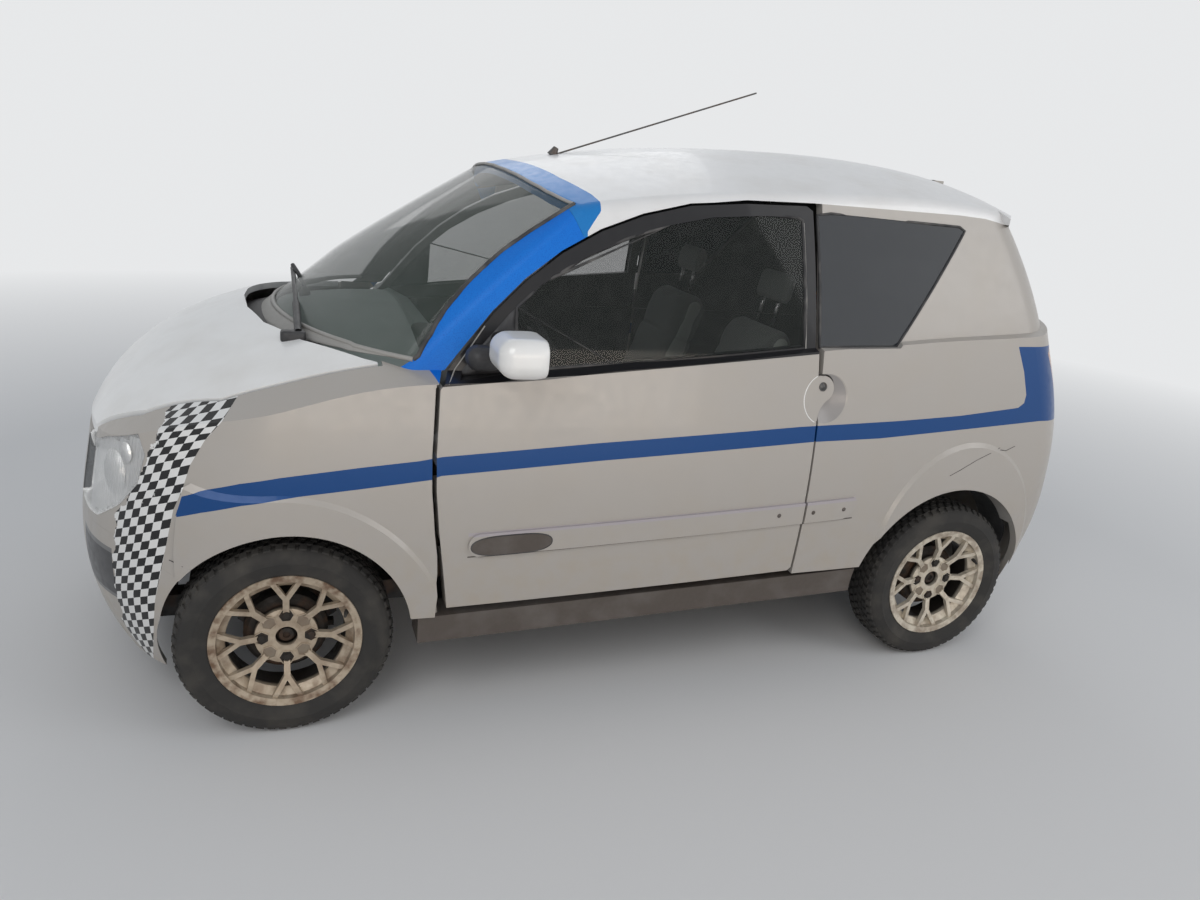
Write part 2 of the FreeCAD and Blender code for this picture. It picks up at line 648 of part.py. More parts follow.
rear_bumper_zone = side_prism([(1240, 100), (1240, 470), (1300, size("rear_bumper_top") - 8),
                               (1600, size("rear_bumper_top") - 8), (1600, 100)], -900, 900)
rear_bumper_gap = side_prism([(1240 - GAP, 100), (1240 - GAP, 470 + GAP), (1300, size("rear_bumper_top") - 8 + GAP),
                              (1600, size("rear_bumper_top") - 8 + GAP), (1600, 100)], -900, 900)
lamp_face = [(-645, 850), (-645, 992), (-630, 1010), (-tgh - SHUT - 1, 1010), (-tgh - SHUT - 1, 832),
             (-630, 832)]
lamp_zone = rear_prism(lamp_face, 1240, 1700)
lamp_inner_face = polygon([V(1240, y, z) for y, z in lamp_face]).OuterWire.makeOffset2D(-GAP, 2)
lamp_inner = Part.Face(lamp_inner_face).extrude(V(460, 0, 0)).common(box(1240 + GAP, 1700, -900, 0, 0, 1700))
quarter_zone = side_prism([(drx + 8, dbz + 4), (1600, dbz + 4), (1600, 1700), (drx + 8, 1700)], -900, -300)
quarter = cabin_shell.fuse(strip).fuse(rear_flare).common(quarter_zone).cut(door_opening).cut(quarter_rebate)
quarter = quarter.cut(quarter_glass_zone).cut(roof_zone).cut(dish).cut(flap_room)
quarter = quarter.cut(tailgate_opening).cut(rear_arch).cut(rear_bumper_gap).cut(lamp_zone)
add("quarter_left", quarter)
add("quarter_right", mirrored(quarter))
quarter_glass = glass_shell.common(quarter_glass_inner)
add("quarter_glass", Part.makeCompound([quarter_glass, mirrored(quarter_glass)]))
lamp = cabin_shell.common(lamp_inner)
add("tail_lamps", Part.makeCompound([lamp, mirrored(lamp)]))
thin_shell = tub_out.cut(tub_thin).fuse([rear_flare, mirrored(rear_flare)])
bumper_rear = thin_shell.common(rear_bumper_zone).cut(tailgate_opening).cut(rear_arch).cut(mirrored(rear_arch))
bumper_rear = bumper_rear.cut(rod((1300, 245, 311.3), (1500, 245, 311.3), 24))
add("bumper_rear", bumper_rear)

# Nose: bonnet, wings, bumper and headlamps

bhalf = size("bonnet_half")
brear = size("bonnet_rear_x")


def bonnet_outline(grow):
    """Plan outline as (x, y) on the left side from the front."""
    ahead = size("bonnet_nose_gap") if grow else 0
    half = [(-1700, -330 - grow), (-1405 - ahead, -330 - grow), (-1245 - ahead, -505 - grow), (-1080, -bhalf - grow),
            (brear + grow, -bhalf - grow), (brear + grow, -592), (-765, -570), (-805, -532), (-900, -440),
            (-985, -300), (-1025, -150), (-1035, 0)]
    if grow:
        half = half[:5] + [(brear + grow, 0)]
    return half + [(x, -y) for x, y in reversed(half) if y]


bonnet_lip = size("bonnet_lip_z")
bhx = size("bonnet_hinge_x")
bhz = size("bonnet_hinge_z")
bonnet = nose_shell.common(plan_prism(bonnet_outline(0), bonnet_lip, 1200))
lug = box(bhx - 40, bhx + 9, -70, -58, bhz - 9, bhz + 16).common(lower_body(4))
lug = lug.cut(rod((bhx, -72, bhz), (bhx, -56, bhz), pin + size("hinge_clear")))
bonnet = bonnet.fuse([lug, mirrored(lug)])
add("bonnet", bonnet)
bonnet_opening = plan_prism(bonnet_outline(size("bonnet_gap")), size("bonnet_slot_z"), 1200)
bracket = box(bhx - 4, bhx + 12, -84, -73, 600, bhz).fuse(rod((bhx, -84, bhz), (bhx, -73, bhz), 8))
bracket = bracket.fuse([box(bhx - 60, bhx + 12, -84, -73, 600, 655), rod((bhx, -84, bhz), (bhx, -56, bhz), pin)])
bracket = bracket.common(lower_body(4))
bumper_top = size("bumper_top")
bumper_zone = side_prism([(-1700, 100), (-1180, 100), (-1180, 430), (-1290, bumper_top), (-1700, bumper_top)],
                         -900, 900)
# A steered tyre's corners sweep a ball round the kingpin.
reach = size("track_half") - size("kingpin_y") + size("tyre_width") / 2 - size("tyre_shoulder")
steer_ball = Part.makeSphere(math.hypot(HUB_Z, reach) + size("steer_clear"), V(FRONT_X, -size("kingpin_y"), HUB_Z))
front_arches = front_arch.fuse(mirrored(front_arch))
nose_sides = nose_shell.fuse([front_flare, mirrored(front_flare)])
bumper = nose_sides.common(bumper_zone).cut(front_arches).cut(steer_ball).cut(mirrored(steer_ball))
grille = rear_prism([(-210, 300), (210, 300), (240, 400), (-240, 400)], -1700, -1300)
slats = [box(-1600, -1300, -250, 250, z, z + 9) for z in (318, 345, 372)]
bumper = bumper.cut(grille.cut(Part.makeCompound(slats)))
bumper = max(bumper.Solids, key=lambda solid: solid.Volume)
add("bumper_front", bumper)
HEADLAMP = [(-1255, 755), (-1241, 712), (-1262, 640), (-1305, 580), (-1366, 522), (-1420, 506), (-1700, 506),
            (-1700, 600), (-1425, 640), (-1390, 672), (-1330, 720)]
headlamp_zone = side_prism(HEADLAMP, -800, -250)
wing_zone = side_prism([(-1700, bumper_top + GAP), (-1290, bumper_top + GAP), (-1180 + GAP, 430),
                        (-1180 + GAP, 306), (dfx + 34, 306), (dfx + 34, 1100), (-1700, 1100)], -900, 900)
wings = nose_sides.common(wing_zone).cut(bonnet_opening).cut(front_arches)
wing_room = grown_prism(DOOR, size("wing_gap"), -900, -330)
wings = wings.cut(wing_room).cut(mirrored(wing_room))
# The door's front edge swings round its hinge line inside this turned solid.
sweep = [(math.hypot(min(x - hx, 0), size("hinge_depth")) + size("sweep_clear"), z) for x, z in DOOR[:6]]
sweep = [(sweep[0][0], 306)] + sweep[1:] + [(sweep[-1][0], 905)]
sweep_face = polygon([V(hx, hy, 306)] + [V(hx + r, hy, z) for r, z in sweep] + [V(hx, hy, 905)])
door_sweep = sweep_face.revolve(V(hx, hy, 0), V(0, 0, 1), 360)
wing_left = wings.common(left_half).cut(headlamp_zone).cut(door_sweep).fuse(bracket)
add("wing_left", wing_left)
add("wing_right", mirrored(wing_left))
headlamp_inner = grown_prism(HEADLAMP, -size("joint_gap"), -800, -250)
headlamp = tub_out.common(headlamp_inner).cut(bonnet_opening).cut(lower_body(45))
add("headlamps", Part.makeCompound([headlamp, mirrored(headlamp)]))

# Under the cabin

sill_foot = "sill_bottom + sill_rise * (sill_rear_x - sill_front_x)"
sill = new_body("sill")
pad(sill, "sill_bar", outline(sill, "sill_side", "XZ_Plane", [[
    ("sill_front_x", "sill_bottom"), ("sill_rear_x", sill_foot), ("sill_rear_x", sill_foot + " + sill_height"),
    ("sill_front_x", "sill_bottom + sill_height")]], "sill_y"), "sill_width")
pocket(sill, "arch_cuts", outline(sill, "arches", "XZ_Plane", [
    ("front_axle_x + front_arch_shift", "front_arch_z", "front_arch_radius"),
    ("front_axle_x + wheel_base + rear_arch_shift", "rear_arch_z", "rear_arch_radius + 12")]))
node(together("sills", [sill, across("sill_right", sill)]))

floor = joined("floor_pan", [
    block("cabin_floor", ("bulkhead_x", "boot_wall_x"), ("-floor_half", "floor_half"),
          ("floor_z", "floor_z + floor_wall")),
    block("boot_wall", ("boot_wall_x - floor_wall", "boot_wall_x"), ("-floor_half", "floor_half"),
          ("floor_z", "boot_floor_z + floor_wall")),
    block("boot_floor", ("boot_wall_x - floor_wall", "boot_floor_end"), ("-boot_half", "boot_half"),
          ("boot_floor_z", "boot_floor_z + floor_wall"))])
node(floor)
fz = size("floor_z")
fw = size("floor_wall")
bulkhead = box(size("bulkhead_x") - size("bulkhead_wall"), size("bulkhead_x"), -621, 621, fz, 900)
# The posts that carry the door hinges are welded to the bulkhead.
posts = [box(hx - 22, hx + 14, -650, -615, 385, 730)] + hinge_arms
posts = posts[0].fuse(posts[1:])
bulkhead = bulkhead.common(tub_in).fuse([posts, mirrored(posts)])
add("bulkhead", bulkhead.removeSplitter())
dashboard = new_body("dashboard")
pad(dashboard, "dash_moulding", outline(dashboard, "dash_side", "XZ_Plane", [[
    ("bulkhead_x + seat_gap", 620), ("bulkhead_x + seat_gap", 899.5), ("bulkhead_x + 38", 915),
    ("bulkhead_x + 108", 880), ("bulkhead_x + 143", 800), ("bulkhead_x + 98", 690),
    ("bulkhead_x + 38", 620)]]), "2 * dash_half")
node(dashboard)
cowl_top = size("panel_wall") - 10
cowl = lower_body(cowl_top).cut(lower_body(cowl_top + 7)).common(
    box(-1070, size("bulkhead_x") - size("bulkhead_wall") - GAP, -590, 590, 700, 1100))
add("cowl", cowl)

rail_z = ("rail_z", "rail_z + rail_height")
frame_parts = []
for name, side in (("left", "-"), ("right", "")):
    middle = side + "rail_y"
    frame_parts.append(block("rail_" + name, ("-frame_end", "frame_end"),
                             (middle + " - rail_width / 2", middle + " + rail_width / 2"), rail_z))
for count, x in enumerate(("-frame_end", "member_two_x", "member_three_x", "member_four_x",
                           "frame_end - rail_width")):
    frame_parts.append(block("member_%d" % (count + 1), (x, x + " + rail_width"), ("-rail_y", "rail_y"), rail_z))
frame = node(joined("chassis_frame", frame_parts))
engine_half = "rail_y - rail_width / 2 - seat_gap"
node(joined("engine_block", [
    block("engine_upper", ("engine_x", "engine_x + 370"), (-230, 230), ("engine_z", "engine_z + 380")),
    block("engine_sump", ("engine_x + 40", "engine_x + 330"), ("-(%s)" % engine_half, engine_half),
          ("engine_z - 25", "engine_z + 10"))]))
pipe_x = "frame_end - rail_width / 2"
pipe_z = "rail_z + rail_height + silencer_radius + seat_gap"
elbow = doc.addObject("Part::Sphere", "pipe_elbow")
elbow.setExpression("Radius", tied("pipe_radius"))
place(elbow, pipe_x, "pipe_y", pipe_z)
exhaust_solid = joined("exhaust_solid", [
    bar("silencer", V(0, 1, 0), "silencer_radius", 420, (pipe_x, -210, pipe_z)),
    bar("outlet", V(0, 1, 0), "pipe_radius", "pipe_y - 205", (pipe_x, 205, pipe_z)), elbow,
    bar("tail_pipe", V(1, 0, 0), "pipe_radius", "pipe_end_x - (%s)" % pipe_x, (pipe_x, "pipe_y", pipe_z))])
node(carved("exhaust", exhaust_solid, bar("pipe_bore", V(1, 0, 0), "pipe_radius - 3", 112,
                                          ("pipe_end_x - 100", "pipe_y", pipe_z))))

# Wheels

TRACK = size("track_half")


def ring(points, centre_y):
    """A solid turned round the Y axis from (offset outwards on the left, radius) points."""
    face = polygon([V(r, centre_y - a, 0) for a, r in points])
    return face.revolve(V(0, 0, 0), V(0, 1, 0), 360)


def faceted_ring(points, sides):
    """A ring of flat faces round the Y axis from (offset outwards on the left, radius to the flats) points."""
    rows = []
    for offset, radius in points:
        corner = radius / math.cos(math.pi / sides)
        turns = [2 * math.pi * (i + 0.5) / sides for i in range(sides)]
        rows.append([V(corner * math.sin(a), -offset, -corner * math.cos(a)) for a in turns])
    faces = []
    for low, high in zip(rows, rows[1:] + rows[:1]):
        for i in range(sides):
            j = (i + 1) % sides
            faces.append(polygon([low[i], low[j], high[j], high[i]]))
    solid = Part.Solid(Part.Shell(faces))
    if solid.Volume < 0:
        solid.reverse()
    return solid


def tyre_shape():
    r = size("tyre_radius")
    b = size("bead_radius") + GAP
    w = size("tyre_width") / 2
    t = size("tyre_wall")
    s = size("tyre_shoulder")
    half = [(w - 14.3, b), (w - 14.3, b + 14.5), (w, b + 46), (w - 8, r - 12), (w - s, r)]
    inner = [(w - s - 6, r - t), (w - 27, b)]
    outside = half + [(-a, q) for a, q in reversed(half)]
    return faceted_ring(outside + [(-a, q) for a, q in reversed(inner)] + inner, int(size("tyre_sides")))


tyre = doc.addObject("Part::Feature", "tyre")
tyre.Shape = tyre_shape()

# The alloy rim, for a wheel centre at the origin and its face towards -Y. Heights run inwards.
rim_half = "rim_width / 2"
rim = new_body("rim")
arm_rise = "tan(arm_angle * 1deg)"
arm_edge = "arm_width / 2 / cos(arm_angle * 1deg)"
tip = "bead_radius - 6"
stem_end = "spoke_fork + (spoke_width / 2 - %s) / %s" % (arm_edge, arm_rise)
tip_high = "(%s - spoke_fork) * %s + %s" % (tip, arm_rise, arm_edge)
tip_low = "(%s - spoke_fork) * %s - %s" % (tip, arm_rise, arm_edge)
half_fork = [(0, "spoke_width / 2"), (stem_end, "spoke_width / 2"), (tip, tip_high), (tip, tip_low)]
crotch = [("spoke_fork + %s / %s" % (arm_edge, arm_rise), 0)]
fork = half_fork + crotch + [(x, "-(%s)" % z) for x, z in reversed(half_fork)]
fork_sketch = outline(rim, "fork_outline", "XZ_Plane", [fork])
spoke = pad(rim, "spoke", fork_sketch, "2 * rim_width")
patterned(rim, "spokes", spoke, fork_sketch, "spoke_count")
# The spokes are turned down to a dish that climbs from the hub to the rim's edge.
turned(rim, "dish", [[
    (0, -200), (300, -200), (300, 200), (0, 200), (0, "spoke_depth - hub_face"), (40, "spoke_depth - hub_face"),
    ("bead_radius - rim_wall - 16", "spoke_depth + 8 - rim_width / 2"),
    ("bead_radius - rim_wall + 1", "spoke_depth + 8 - rim_width / 2"),
    ("bead_radius - rim_wall + 1", "8 - rim_width / 2"), ("bead_radius - rim_wall - 8", "8 - rim_width / 2"),
    (40, "-hub_face"), (0, "-hub_face")]], kind="PartDesign::Groove")
turned(rim, "hub", [[
    (0, "-hub_back"), ("hub_radius - 4", "-hub_back"), ("hub_radius + 2", "spoke_depth - hub_face"),
    ("hub_radius", "-hub_face"), ("hub_radius - 10", "-hub_face - 2"), (0, "-hub_face - 2")]])
well = "bead_radius - rim_drop"
turned(rim, "barrel", [[
    ("rim_lip_radius", "2 - rim_width / 2"), ("rim_lip_radius - 1", "5 - rim_width / 2"),
    ("bead_radius", "6 - rim_width / 2"), ("bead_radius", "20 - rim_width / 2"), (well, "30 - rim_width / 2"),
    (well, "rim_width / 2 - 34"), ("bead_radius", "rim_width / 2 - 20"), ("bead_radius", "rim_width / 2 - 6"),
    ("rim_lip_radius", "rim_width / 2 - 5"), ("rim_lip_radius", "rim_width / 2"),
    ("rim_lip_radius - 6", "rim_width / 2"), ("bead_radius - rim_wall", "rim_width / 2 - 2"),
    ("bead_radius - rim_wall", "rim_width / 2 - 19"), (well + " - rim_wall", "rim_width / 2 - 33"),
    (well + " - rim_wall", "30 - rim_width / 2"), ("bead_radius - rim_wall", "17 - rim_width / 2"),
    ("bead_radius - rim_wall + 2", "3 - rim_width / 2"), ("rim_lip_radius - 1", "-rim_width / 2")]])
pocket(rim, "hub_hole", outline(rim, "hub_circle", "XZ_Plane", [(0, 0, "hub_bore")]))
# Four bolt holes and four lightening holes stand in turn on the bolt circle.
for name, turn, depth in (("lightening", 0, 5), ("bolt", 45, 12)):
    spot = ("bolt_circle / 2 * cos(%ddeg)" % turn, "bolt_circle / 2 * sin(%ddeg)" % turn, "bolt_recess")
    hole_sketch = outline(rim, name + "_circle", "XZ_Plane", [spot], "hub_face - %d" % depth)
    hole = pocket(rim, name + "_hole", hole_sketch, outwards=True)
    patterned(rim, name + "_holes", hole, fork_sketch, 4)

bore = "spindle_radius + run_clear"
drum = new_body("brake_drum")
turned(drum, "drum_shell", [[
    (bore, "-hub_back"), ("drum_radius - 10", "-hub_back"), ("drum_radius", "8 - hub_back"),
    ("drum_radius", "drum_depth"), ("drum_radius - drum_wall", "drum_depth"), ("drum_radius - drum_wall", "drum_wall"),
    (34, "drum_wall"), (34, 26), (bore, 26)]])

Wheel = namedtuple("Wheel", "name x side")
WHEELS = [Wheel("front_left", "front_axle_x", "-"), Wheel("front_right", "front_axle_x", ""),
          Wheel("rear_left", "front_axle_x + wheel_base", "-"), Wheel("rear_right", "front_axle_x + wheel_base", "")]
for kind, left in (("rim", rim), ("tyre", tyre), ("brake_drum", drum)):
    right = across(kind + "_mirrored", left)
    for w in WHEELS:
        copy = together("%s_%s" % (kind, w.name), [left if w.side else right])
        node(place(copy, w.x, w.side + "track_half", "tyre_radius"))

# Knuckles turn on ball pins of the front suspension

plate_y = "-track_half + drum_depth + 5"


def hub_carrier(name, x):
    """A backing plate and a spindle for a left wheel."""
    return [bar(name + "_plate", V(0, 1, 0), "plate_radius", "plate_wall", (x, plate_y, "tyre_radius")),
            bar(name + "_spindle", V(0, 1, 0), "spindle_radius", "drum_depth + 25",
                (x, "-track_half - 18", "tyre_radius"))]


upright = block("upright", ("front_axle_x - 24", "front_axle_x + 24"),
                (plate_y + " + 1", "-kingpin_y + 22"), ("tyre_radius - ball_height", "tyre_radius + ball_height"))
steer_arm = block("steer_arm", ("front_axle_x", "front_axle_x + 120"), ("-kingpin_y - 6", "-kingpin_y + 14"),
                  ("tyre_radius - 50", "tyre_radius - 34"))
knuckle_solid = joined("knuckle_solid", hub_carrier("front", "front_axle_x") + [upright, steer_arm])
pin_bore = "kingpin_radius + run_clear"
bores = together("kingpin_bores", [
    bar("bore_low", V(0, 0, 1), pin_bore, 33, ("front_axle_x", "-kingpin_y", "tyre_radius - ball_height - 1")),
    bar("bore_high", V(0, 0, 1), pin_bore, 33, ("front_axle_x", "-kingpin_y", "tyre_radius + ball_height - 32"))])
knuckle = node(carved("knuckle_left", knuckle_solid, bores))
node(across("knuckle_right", knuckle))

low_pin = bar("low_pin", V(0, 0, 1), "kingpin_radius", 52,
              ("front_axle_x", "-kingpin_y", "tyre_radius - ball_height - 26"))
rail_side = "-rail_y - rail_width / 2 - seat_gap"
low_arm = new_body("lower_arm")
pad(low_arm, "arm_plate", outline(low_arm, "arm_plan", "XY_Plane", [[
    ("front_axle_x - 17", "-kingpin_y - 14"), ("front_axle_x + 17", "-kingpin_y - 14"),
    ("front_axle_x + 17", "-kingpin_y + 30"), ("front_axle_x + 140", rail_side),
    ("front_axle_x - 120", rail_side), ("front_axle_x - 17", "-kingpin_y + 30")]],
    "tyre_radius - ball_height - seat_gap - arm_plate_wall / 2"), "arm_plate_wall")
strut = [
    bar("high_pin", V(0, 0, 1), "kingpin_radius", 66, ("front_axle_x", "-kingpin_y", "tyre_radius + ball_height - 26")),
    bar("spring", V(0, 0, 1), 20, "strut_top_z - 80 - tyre_radius - ball_height - seat_gap",
        ("front_axle_x", "-kingpin_y", "tyre_radius + ball_height + seat_gap")),
    bar("damper_rod", V(0, 0, 1), 12, 81, ("front_axle_x", "-kingpin_y", "strut_top_z - 81")),
    block("tower_top", ("front_axle_x - 60", "front_axle_x + 60"), ("-kingpin_y - 50", "-rail_y"),
          ("strut_top_z", "strut_top_z + 12")),
    block("tower_leg", ("front_axle_x - 60", "front_axle_x + 60"), ("-rail_y - 22", "-rail_y"),
          ("rail_z + rail_height", "strut_top_z"))]
low_side = joined("lower_side", [low_pin, low_arm])
high_side = joined("strut_side", strut)
node(together("front_suspension", [low_side, across("lower_side_right", low_side),
                                   high_side, across("strut_side_right", high_side)]))

axle_x = "front_axle_x + wheel_base"
beam_x = axle_x + " - trail_length"
beam_z = "rail_z + rail_height + 26"
trail_way = V(size("trail_length"), 0, HUB_Z - size("rail_z") - size("rail_height") - 26)
half_axle = joined("half_axle", hub_carrier("rear", axle_x) + [
    bar("trailing_arm", trail_way, 22, "sqrt(trail_length ^ 2 + (tyre_radius - rail_z - rail_height - 26) ^ 2)",
        (beam_x, "-beam_half + 20", beam_z)),
    bar("trail_boss", V(0, 1, 0), 34, "track_half - drum_depth - 5 - beam_half + 45",
        (axle_x, plate_y + " + 3", "tyre_radius")),
    bar("cross_beam", V(0, 1, 0), 26, "beam_half", (beam_x, "-beam_half", beam_z + " + seat_gap"))])
axle_pair = joined("axle_pair", [half_axle, across("half_axle_right", half_axle)])
node(carved("rear_axle", axle_pair, frame))

# Wheel arch liners


def liner(x, z, radius, y_out, y_in, from_angle):
    r_in = radius
    band = rod((x, y_out, z), (x, y_in, z), r_in + size("liner_wall")).cut(rod((x, y_out, z), (x, y_in, z), r_in))
    return band.common(box(x - 500, x + 500, -900, 0, z + from_angle, 900))


front_liner = liner(front_arch_x, size("front_arch_z"), size("front_arch_radius") + size("front_liner_gap"),
                    -690, -400, 60)
rear_liner = liner(rear_arch_x, size("rear_arch_z"), size("rear_arch_radius") + size("rear_liner_gap"),
                   -670, -525, 60)
front_liner = front_liner.common(tub_thin).cut(rod((FRONT_X, -size("kingpin_y"), 400), (FRONT_X, -size("kingpin_y"), 700), 12 + GAP))
rear_liner = rear_liner.common(tub_in)
add("wheel_liners", Part.makeCompound([front_liner, mirrored(front_liner), rear_liner, mirrored(rear_liner)]))

# Cabin


seat = new_body("seat_left")
base = "seat_base_z"
for name, width, profile in (
        ("cushion_and_back", "seat_width", (
            (-120, base + " + 10"), (-105, base + " + cushion_height"), (300, base + " + cushion_height - 20"),
            (395, 1050), (430, 1100), (490, 1105), (500, 1060), (430, base + " + 20"), (400, base), (-90, base))),
        ("head_post", 120, ((458, 1090), (480, 1090), (480, 1120), (458, 1120))),
        ("head_rest", 240, ((436, 1110), (440, 1235), (500, 1240), (512, 1110))),
        ("seat_foot", "seat_width - 80", ((-80, "floor_z + floor_wall"), (380, "floor_z + floor_wall"),
                                          (380, base + " + 5"), (-80, base + " + 5")))):
    pad(seat, name, outline(seat, name + "_side", "XZ_Plane", [list(profile)], "driver_y"), width)
node(seat)
node(across("seat_right", seat))

# The steering wheel, turned in its own frame: X across, Y up its face and Z along the column to the driver.
tilt = math.radians(size("steer_tilt"))
axis = V(math.cos(tilt), 0, math.sin(tilt))
up = V(-math.sin(tilt), 0, math.cos(tilt))
steering_wheel = new_body("steering_wheel")
turned(steering_wheel, "boss", [[(0, -30), (42, -30), (42, 6), (34, 10), (0, 10)]], role="XZ_Plane")
pad(steering_wheel, "spokes_plate", outline(steering_wheel, "spokes_plan", "XY_Plane", [[
    ("-grip_radius", -14), (-14, -14), (-14, "-grip_radius"), (14, "-grip_radius"), (14, -14),
    ("grip_radius", -14), ("grip_radius", 14), ("-grip_radius", 14)]], -10), 14)
grip = "steer_tube"
turned(steering_wheel, "grip", [[
    ("grip_radius + %s * %s" % (grip, round(math.cos(math.radians(a)), 4)),
     "%s * %s" % (grip, round(math.sin(math.radians(a)), 4))) for a in range(0, 360, 45)]], role="XZ_Plane")
steering_wheel.Placement = FreeCAD.Placement(V(), FreeCAD.Rotation(V(0, 1, 0), up, axis))
node(place(steering_wheel, "steer_x", "-driver_y", "steer_z"))
column_length = 215
wheel_at = V(size("steer_x"), -size("driver_y"), size("steer_z"))
foot_at = wheel_at - axis * (column_length + 30 + GAP)
column = bar("column_tube", axis, 30, column_length, (foot_at.x, "-driver_y", foot_at.z))
node(carved("steering_column", column, dashboard))

# Mirrors and aerial

mo = size("mirror_out")
mz = size("mirror_z")
head = Part.makeBox(110, 150, 92, V(-505, -mo, mz - 46))
head = head.makeFillet(22, head.Edges)
stalk = Part.makeCone(34, 22, 90, V(-450, -638, mz - 30), V(0, -1, 0.15))
sail_zone = grown_prism(DOOR_WINDOW, -GAP, -900, -330).common(box(-700, sail_end - GAP, -900, -330, 800, 1200))
sail = house_out.cut(upper_body(22)).common(sail_zone)
mirror = head.fuse(stalk).cut(house_out).fuse(sail)
add("mirror_left", mirror)
add("mirror_right", mirrored(mirror))
aerial_foot = V(-165, 0, 1425)
aerial_dir = V(677, 0, 252)
aerial_dir.normalize()
aerial = Part.makeCylinder(size("aerial_radius"), size("aerial_length"), aerial_foot, aerial_dir)
base = Part.makeCone(16, 8, 26, aerial_foot, V(0.5, 0, 1))
add("aerial", aerial.fuse(base).cut(house_out))

doc.recompute()
for piece in doc.Objects:
    if "Invalid" in piece.State or "Error" in piece.State:
        raise RuntimeError("%s failed: %s" % (piece.Label, piece.State))
for piece in NODES:
    if piece.Shape.isNull() or not piece.Shape.isValid():
        raise RuntimeError("%s has no valid shape" % piece.Label)

os.makedirs("parts", exist_ok=True)
for piece in NODES:
    piece.Shape.exportStep("parts/%s.step" % piece.Label)
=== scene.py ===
import json
import math
import bmesh
import bpy
from mathutils import Matrix, Vector
from mathutils.bvhtree import BVHTree


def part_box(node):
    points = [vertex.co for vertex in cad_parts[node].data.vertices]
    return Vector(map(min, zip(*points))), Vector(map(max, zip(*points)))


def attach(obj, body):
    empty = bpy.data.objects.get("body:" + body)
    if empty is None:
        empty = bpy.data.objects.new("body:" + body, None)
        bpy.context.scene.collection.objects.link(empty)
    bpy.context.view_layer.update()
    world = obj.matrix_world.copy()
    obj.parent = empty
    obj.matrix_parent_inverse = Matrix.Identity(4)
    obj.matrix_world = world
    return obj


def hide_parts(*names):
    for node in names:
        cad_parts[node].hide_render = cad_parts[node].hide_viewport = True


# The visual model of a two-seat microcar. Metres, +X to the rear, +Y to the car's right, +Z up.

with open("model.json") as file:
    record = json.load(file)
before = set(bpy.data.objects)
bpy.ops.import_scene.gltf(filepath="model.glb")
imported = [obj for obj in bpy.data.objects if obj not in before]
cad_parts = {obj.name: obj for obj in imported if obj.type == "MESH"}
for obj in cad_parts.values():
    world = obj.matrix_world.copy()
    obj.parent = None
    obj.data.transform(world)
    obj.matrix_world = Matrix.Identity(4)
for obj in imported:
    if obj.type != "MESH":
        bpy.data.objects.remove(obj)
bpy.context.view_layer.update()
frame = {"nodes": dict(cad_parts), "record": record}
nodes = frame["nodes"]
slot_of_node = {p["node"]: p["material_slot"] for p in frame["record"]["subparts"]}
SIDES = {"left": -1, "right": 1}


# Shader helpers

def new_material(name, colour, roughness, metallic=0.0, coat=0.0):
    material = bpy.data.materials.new(name)
    material.use_nodes = True
    shader = material.node_tree.nodes["Principled BSDF"]
    shader.inputs["Base Color"].default_value = (*colour, 1.0)
    shader.inputs["Roughness"].default_value = roughness
    shader.inputs["Metallic"].default_value = metallic
    shader.inputs["Coat Weight"].default_value = coat
    shader.inputs["Coat Roughness"].default_value = 0.04
    return material


